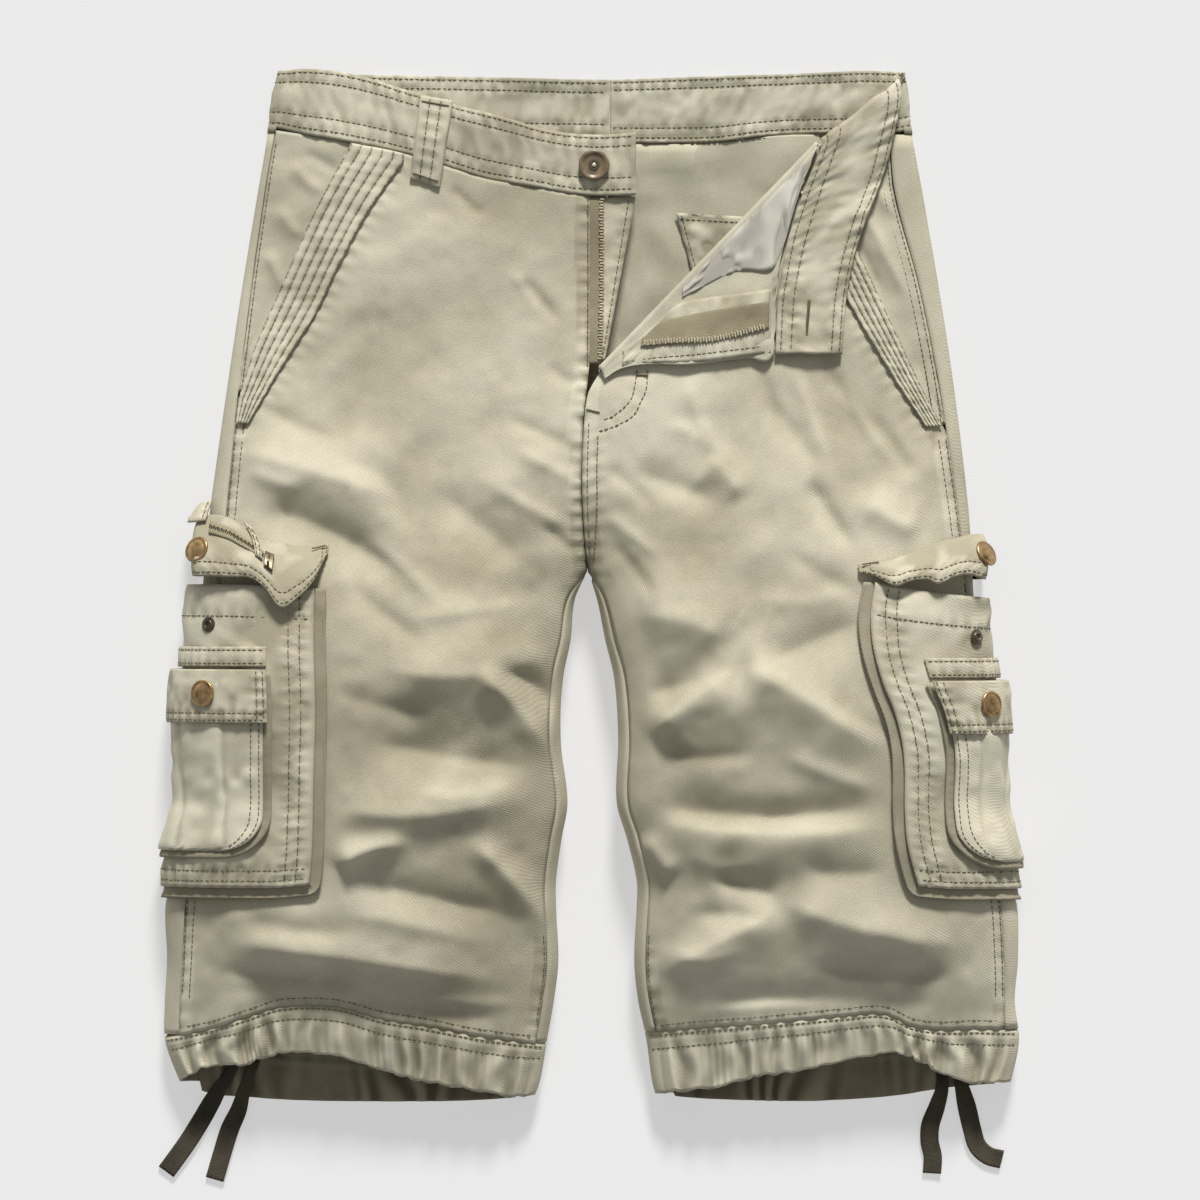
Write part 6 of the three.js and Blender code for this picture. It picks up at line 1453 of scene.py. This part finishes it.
for side, word in SIDES:
    width = small_width[side]
    below, part = np.meshgrid(np.linspace(SMALL_TOP, SMALL_BOTTOM, 66), np.linspace(0, 1, 44), indexing="ij")
    deep = np.clip((below - (SMALL_BOTTOM - SMALL_CORNER)) / SMALL_CORNER, 0, 1)
    inset = SMALL_CORNER * (1 - np.sqrt(1 - deep * deep)) / width
    at = mix(inset, 1, part)
    across_mm = at * width
    relief = 0.8 * noise(across_mm, below, 17, 150 + side) + 0.4 * noise(across_mm, below, 8, 152 + side)
    relief = relief + edge_draw(part * width, below - SMALL_TOP, width * 10, SMALL_BOTTOM - SMALL_TOP, 2, 0.6)
    for centre in (0.3, 0.68):
        bend = centre + 0.03 * np.sin((below - SMALL_TOP) / 30)
        shift = (at - bend) * width
        relief = relief - 1.5 * bell(shift, 1.4) + 0.8 * bell(shift - 4.5, 3)
    relief = np.maximum(relief, -1.0)
    grid = on_small(side, at, below, small_out(at, below))
    piece = shell(f"small_pocket_{word}_cloth", grid, CLOTH, [TWILL, TWILL_INSIDE], (0.4, 0.2), relief=relief,
                  wear_and_shade=np.clip(relief * 0.25, -0.3, 0.2) + SMALL_PAINTED_LIGHT)
    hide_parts(f"small_pocket_{word}")
    for distance in (2.5, 7.5):
        share = np.linspace(0.02, 0.98, 140)
        sew(f"small_stitches_{word}", on_patch(f"small_pocket_{word}_cloth", share, distance / width, 0.12))

    base = SMALL_BOTTOM - SMALL_CORNER
    edge = [(0.0, b, -1.0, 0.0) for b in np.linspace(57, 138, 14)]
    edge += [(SMALL_CORNER * (1 - math.cos(a)) / width, base + SMALL_CORNER * math.sin(a), -math.cos(a), math.sin(a))
             for a in np.linspace(0, math.pi / 2, 9)]
    edge += [(p, SMALL_BOTTOM, 0.0, 1.0) for p in np.linspace(SMALL_CORNER / width, 1, 14)[1:]]
    part, below, push_x, push_y = np.array(edge).T
    rows = [on_small(side, part + push_x * reach / width, below + push_y * reach, SMALL_GUSSET_OUT + swell)
            for reach, swell in ((5, 0), (3, 0.5), (1, 0.2), (-3, 0))]
    grid, u, v = finer(rows, 1.4, 2.0)
    across_v, along_u = np.meshgrid(v, u, indexing="ij")
    relief = 0.25 * np.sin(along_u * 1.1 + 2 * noise(along_u, across_v, 12, 160)) * bell(across_v - 3, 2.5)
    # The small gusset is coloured in the darker twill as painted shade
    piece = shell(f"small_gusset_{word}_cloth", grid, CLOTH, [TWILL_PAINTED_SHADE, TWILL_PAINTED_SHADE], (0.2, 0.2), relief=relief)
    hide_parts(f"small_gusset_{word}")

    rows = [on_small(side, np.linspace(-0.03, 1, 16), below, SMALL_GUSSET_OUT) for below in (40.0, 46.5, 53.0)]
    patch(f"small_band_{word}", rows, 1.5, CLOTH, [TWILL], "twill", seed=18, bumps=0.2, up=(0.5, 0.2),
          rows_of_sewing=(("top", 2.2), ("bottom", 2.4)))
    flap_at = np.linspace(-0.04, 1, 18)
    rows = [on_small(side, flap_at, below, small_out(flap_at, below) + CLOTH + 3 * LAY)
            for below in np.linspace(54.5, 89, 6)]
    patch(f"small_flap_{word}", rows, 1.4, CLOTH, [TWILL], "twill", seed=19, bumps=0.3, up=(0.5, 0.2),
          rows_of_sewing=(("bottom", 2.2), ("bottom", 6.5), ("left", 2.2), ("left", 6.5)))


# Zip, tab and pull of the right flap
def flap_patch(name, spots, thick, materials, slot, **more):
    return patch(name, np.array(spots), 1.2, thick, materials, slot, **more)


ZIP_START, ZIP_END = (7.1, 0.2), (4.1, 0.35)
zip_share = np.linspace(0, 1, 13)
zip_station, zip_part = mix(ZIP_START[0], ZIP_END[0], zip_share), mix(ZIP_START[1], ZIP_END[1], zip_share)
flap_patch("flap_zip", [on_flap(RIGHT, zip_station, zip_part + edge * 0.1, 1.4) for edge in (-1, 0, 1)], 0.8,
           [ZIP_TAPE], "zip_tape", seed=26, up=(0.5, 0.5), bumps=0.05, edge=0.1)
flap_patch("flap_tab", [on_flap(RIGHT, np.array([7.3, 7.6, 7.9, 8.2, 8.5]), part, out)
                        for part, out in ((-0.24, 0.8), (-0.08, 2.4), (0.08, 3.4))], FLAP_THICK, [TWILL], "twill",
           seed=27, bumps=0.15, rows_of_sewing=(("left", 2.0), ("right", 2.0)))
PULL = ((4.35, 0.4, 4), (4.45, 0.25, 4.2), (4.7, 0.05, 3.6), (5.1, -0.12, 3.2))
flap_patch("flap_pull", [on_flap(RIGHT, station + np.linspace(-0.24, 0.24, 4), part, out)
                         for station, part, out in PULL], 1.6, [TWILL_INSIDE], "twill_inside", seed=28, bumps=0.15,
           rows_of_sewing=(("left", 1.5), ("right", 1.5)))


# Hardware: turned pieces standing on the cloth
def turned_piece(name, profile, place, normal, look, nodes=(), segments=40):
    angles = np.linspace(0, 2 * math.pi, segments, endpoint=False)
    normal = Vector(normal).normalized()
    beside = normal.orthogonal().normalized()
    onwards = normal.cross(beside)
    points, faces = [], []
    for radius, rise in profile:
        for angle in angles:
            spoke = beside * math.cos(angle) + onwards * math.sin(angle)
            points.append(tuple(Vector(place) + spoke * max(radius, 0.02) + normal * rise))
    for level in range(len(profile) - 1):
        for k in range(segments):
            a, b = level * segments + k, level * segments + (k + 1) % segments
            faces.append((a, b, b + segments, a + segments))
    obj = add_mesh(name, points, faces, [look], sharp=48)
    if nodes:
        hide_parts(*nodes)
    return obj


def fixed(name, profile, surface, a, b, raise_by, look, slot):
    foot = surface(a, b)
    across = surface(a + 0.01, b) - surface(a - 0.01, b)
    downwards = surface(a, b + 0.01) - surface(a, b - 0.01)
    normal = np.cross(across, downwards)
    normal = normal / np.linalg.norm(normal)
    if normal[2] < 0:
        normal = -normal
    turned_piece(name + "_metal", profile, foot + normal * raise_by, normal, look, [name])
    return foot, normal


CAP_PROFILE = ((0, 0), (8.0, 0), (8.7, 0.35), (8.8, 0.8), (8.6, 1.35), (8.0, 1.75), (7.3, 1.7), (6.7, 1.45),
               (6.1, 1.6), (5.3, 2.1), (3.4, 2.5), (1.6, 2.6), (0, 2.6))
SOCKET_PROFILE = ((0, 0), (4.9, 0), (5.0, 0.4), (4.8, 0.85), (4.0, 1.05), (3.2, 1.15), (2.8, 1.5), (2.6, 1.95),
                  (2.1, 2.0), (1.7, 1.5), (1.5, 0.9), (0, 0.9))
BUTTON_PROFILE = ((0, 0), (8.4, 0), (9.5, 0.7), (10, 1.5), (10, 2.3), (9.5, 3.0), (8.8, 3.2), (8.1, 3.1), (7.4, 2.7),
                  (6.8, 2.2), (5.4, 1.95), (0, 1.9))
FLAP_CAPS = {RIGHT: (7.75, 0.57), LEFT: (7.85, 0.45)}
for side, word in SIDES:
    fixed(f"flap_cap_{word}", CAP_PROFILE, lambda a, b: on_flap(side, a, b), *FLAP_CAPS[side], 0.2,
          BRASS, "brass")
    fixed(f"snap_socket_{word}", SOCKET_PROFILE, lambda a, b: on_face(side, a, MOUTH[side](a) + b * 100), 0.4, 0.26,
          0.2, AGED, "brass")
    fixed(f"small_cap_{word}", CAP_PROFILE,
          lambda a, b: on_small(side, a, b * 100, small_out(a, b * 100) + CLOTH + 3 * LAY), 0.48, 0.70, 0.2, BRASS,
          "brass")
button_place = np.array([1, LENGTH / 2 - 63, float(height(1.0, 63.0)) + PROUD + 2 * LAY])
turned_piece("waist_button_resin", BUTTON_PROFILE, button_place, (0, 0, 1), HORN, ["waist_button"], 56)
DISH = ((0, 0), (3.4, 0), (3.6, 0.25), (3.3, 0.45), (2.6, 0.3), (0, 0.2))
EYE = ((0, 0), (1.3, 0), (1.3, 0.5), (0.9, 0.8), (0, 0.9))
# The dark dish is painted shadow in the button's hollow
turned_piece("button_dish", DISH, button_place + [0, 0, 1.9], (0, 0, 1), SHADOW, segments=28)
turned_piece("button_eye", EYE, button_place + [0, 0, 2.05], (0, 0, 1), TEETH, segments=20)


# Zip teeth, as blocks across their line
def blocks(name, path, pitch, size, look, shift=0.0):
    spots, _ = resample(path, pitch)
    ways = np.gradient(spots, axis=0)
    ways /= np.linalg.norm(ways, axis=1, keepdims=True)
    beside = np.cross(ways, [0, 0, 1.0])
    beside /= np.linalg.norm(beside, axis=1, keepdims=True)
    over = np.cross(beside, ways)
    points, faces = [], []
    for k, (spot, way, side_way, up_way) in enumerate(zip(spots, ways, beside, over)):
        base = len(points)
        centre = spot + side_way * (shift if k % 2 else -shift)
        for level, wide in ((-0.5, 1.0), (0.5, 0.75)):
            for a, b in ((-1, -1), (1, -1), (1, 1), (-1, 1)):
                points.append(centre + side_way * a * size[0] / 2 * wide + way * b * size[1] / 2 * wide
                              + up_way * level * size[2])
        faces += [(base + 3, base + 2, base + 1, base), (base + 4, base + 5, base + 6, base + 7)]
        faces += [(base + i, base + (i + 1) % 4, base + 4 + (i + 1) % 4, base + 4 + i) for i in range(4)]
    obj = add_mesh(name, points, faces, [look], sharp=40)
    return obj


def over_top(line, out, count=80):
    """A path over the fronts through places read off the picture."""
    xs, downs = placed(line)
    way_along = np.concatenate([[0], np.cumsum(np.hypot(np.diff(xs), np.diff(downs)))])
    spots = sampled(np.stack([xs, downs], 1), way_along,
                    np.linspace(0, np.hypot(np.diff(xs), np.diff(downs)).sum(), count))
    return top_spot(spots[:, 0], spots[:, 1], out)


blocks("teeth_right", over_top([(601.5, 199), (601.5, 260), (601, 320), (600, 362)], -TAPE_SINK + 0.5), 1.9,
       (3.2, 1.1, 1.1), TEETH, 0.3)
blocks("teeth_left", over_top([(643, 345), (675, 342.5), (713, 341), (765, 328)], TURNED_TOP + 2 * (LAY + BAG) + 0.4),
       1.9, (3.4, 1.1, 1.1), TEETH, 0.3)
zip_line = on_flap(RIGHT, zip_station, zip_part, 1.7)
blocks("teeth_flap", zip_line, 1.5, (2.6, 0.9, 0.8), AGED, 0.35)

slider_rows = [on_flap(RIGHT, np.linspace(3.4, 3.95, 7), part, 3.6 + 0.5 * math.sin(math.pi * (part - 0.22) / 0.28))
               for part in np.linspace(0.22, 0.5, 7)]
grid, u, v = finer(slider_rows, 0.7)
slider = shell("flap_slider_metal", grid, 2.2, [AGED], (0.5, 0.5))
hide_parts("flap_slider")
lift = 4.6 + 1.6 * np.sin(np.linspace(0, math.pi, 12))
bridge = on_flap(RIGHT, np.full(12, 3.68), np.linspace(0.26, 0.46, 12), lift)
blocks("flap_slider_bridge", bridge, 0.35, (1.6, 0.5, 1.0), AGED)


# Sewing on the fronts, read off the picture
sew("fly_stitches", over_top([(588, 193), (588, 250), (588, 310), (587.5, 368)], 0.05))
for line in ([(637, 371), (634, 390), (630, 402), (614, 417), (602, 422)],
             [(647, 371), (646, 390), (641, 402), (633, 417), (614, 428), (598, 433)],
             [(598, 436), (597, 470), (597, 510), (594, 560)],
             [(589, 424), (588, 450), (587.5, 500), (590, 556)]):
    sew("fly_stitches", over_top(line, 0.05))
for line in ([(587, 411), (599, 414)], [(636, 376), (648, 377)]):
    sew("bar_tacks", over_top(line, 0.4), pitch=0.75, length=1.5, radius=0.6)
for side, word in SIDES:
    down = np.linspace(SLANT_END[side] - 172 if side == RIGHT else 42, 600, 420)
    for inset in (1.6, 6.4):
        x = SIDE_SEAM[side](down) - side * inset
        keep = (down > SLANT_END[side] + 4) & ((down < 300) | (down > 540))
        sew(f"side_stitches_{word}", top_spot(x[keep], down[keep], 0.1))
    down = np.linspace(560, 616, 70)
    x = INNER[side](down) + side * (INSEAM_INSET(down) + 2.0)
    sew(f"inseam_stitches_{word}", top_spot(x, down, 0.05))
    down = np.linspace(48, SLANT_END[side] - 8, 180)
    x = SIDE_SEAM[side](down) - side * 2.4
    if side == RIGHT:
        sew("facing_stitches_right", top_spot(x, down, -0.1))
    else:
        sew("facing_stitches_left", top_spot(x, down, -0.1))
        sew("facing_stitches_left", top_spot(x - 5, down, -0.75))
row = np.linspace(0.02, 0.98, 300)
for side, word in SIDES:
    x, down = front_place(side, np.full(300, 0.9915), row)
    sew(f"hem_stitches_{word}", top_spot(x, down, 0.0))

# Sewing on the turned corner and on the inside of the backs
turned_grid = (patches["turned_corner"][0] - patches["turned_corner"][1] * CLOTH, -patches["turned_corner"][1])
patches["turned_inside"] = turned_grid
sew("turned_stitches", on_patch("turned_inside", np.linspace(0.05, 0.8, 60), 0.9, 0.1))


def inside(line):
    xs, downs = placed(line)
    return np.stack([xs, LENGTH / 2 - downs, np.full(len(line), CLOTH + 1.5)], 1)




def smooth_path(points, count=60):
    run = np.concatenate([[0], np.cumsum(np.linalg.norm(np.diff(points, axis=0), axis=1))])
    return sampled(points, run, np.linspace(0, run[-1], count))


for line in ([(603, 146), (604, 180), (603, 230)], [(612, 146), (613, 180), (612, 230)],
             [(690, 142), (760, 139), (800, 137)]):
    sew("inside_stitches", smooth_path(inside(line)))
hole = over_top([(808, 302), (806.5, 320), (805, 337)], PROUD + TURN_GAP + BAND + 0.1, 60)
sew("buttonhole_edge", hole, pitch=0.55, length=1.0, radius=1.1)
slit = over_top([(808, 304), (806.5, 320), (805, 335)], PROUD + TURN_GAP + BAND + 0.95, 60)
sew("buttonhole_slit", slit, pitch=0.9, length=1.4, radius=0.35)
loop_top = on_patch("belt_loop_cloth", 0.07, np.linspace(0.08, 0.92, 20), 0.2)
loop_low = on_patch("belt_loop_cloth", 0.93, np.linspace(0.08, 0.92, 20), 0.2)
for line in (loop_top, loop_low):
    sew("bar_tacks", line, pitch=0.8, length=1.6, radius=0.55)
for side in (RIGHT, LEFT):
    sew("bar_tacks", on_flap(side, np.linspace(0.25, 1.2, 20), 0.1, 1.9), pitch=0.8, length=1.6, radius=0.55)
close_sewing(THREAD)
# The slit's stitches take the dark colour, painted shadow in the opening
made["buttonhole_slit"].data.materials[0] = SHADOW


# Every made piece not yet on a body goes on the root
for name, obj in made.items():
    if not obj.get("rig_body"):
        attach(obj, "root")


# Floor, light and finish
floor_material = bpy.data.materials.new("floor")
floor_material.use_nodes = True
floor_shader = floor_material.node_tree.nodes["Principled BSDF"]
floor_shader.inputs["Base Color"].default_value = (0.34, 0.34, 0.342, 1)
floor_shader.inputs["Roughness"].default_value = 1
floor_shader.inputs["Emission Color"].default_value = (1, 1, 1, 1)
floor_shader.inputs["Emission Strength"].default_value = 0.485
floor_mesh = bpy.data.meshes.new("floor")
FLOOR_HALF = 6
FLOOR_LEVEL = -0.0005
floor_corners = [(x * FLOOR_HALF, y * FLOOR_HALF, FLOOR_LEVEL) for x, y in ((-1, -1), (1, -1), (1, 1), (-1, 1))]
floor_mesh.from_pydata(floor_corners, [], [(0, 1, 2, 3)])
floor_mesh.materials.append(floor_material)
floor = bpy.data.objects.new("floor", floor_mesh)
bpy.context.scene.collection.objects.link(floor)

key_data = bpy.data.lights.new("key", "SUN")
key_data.energy = 4.5
key_data.angle = math.radians(11)
key_data.color = (1.0, 0.99, 0.97)
key = bpy.data.objects.new("key", key_data)
key.rotation_euler = Vector((0.10, 1.0, 0.52)).to_track_quat("Z", "Y").to_euler()
bpy.context.scene.collection.objects.link(key)
world = bpy.data.worlds.new("world")
world.use_nodes = True
world.node_tree.nodes["Background"].inputs["Color"].default_value = (0.96, 0.98, 1.0, 1)
world.node_tree.nodes["Background"].inputs["Strength"].default_value = 0.33
bpy.context.scene.world = world
bpy.context.scene.view_settings.view_transform = "Standard"
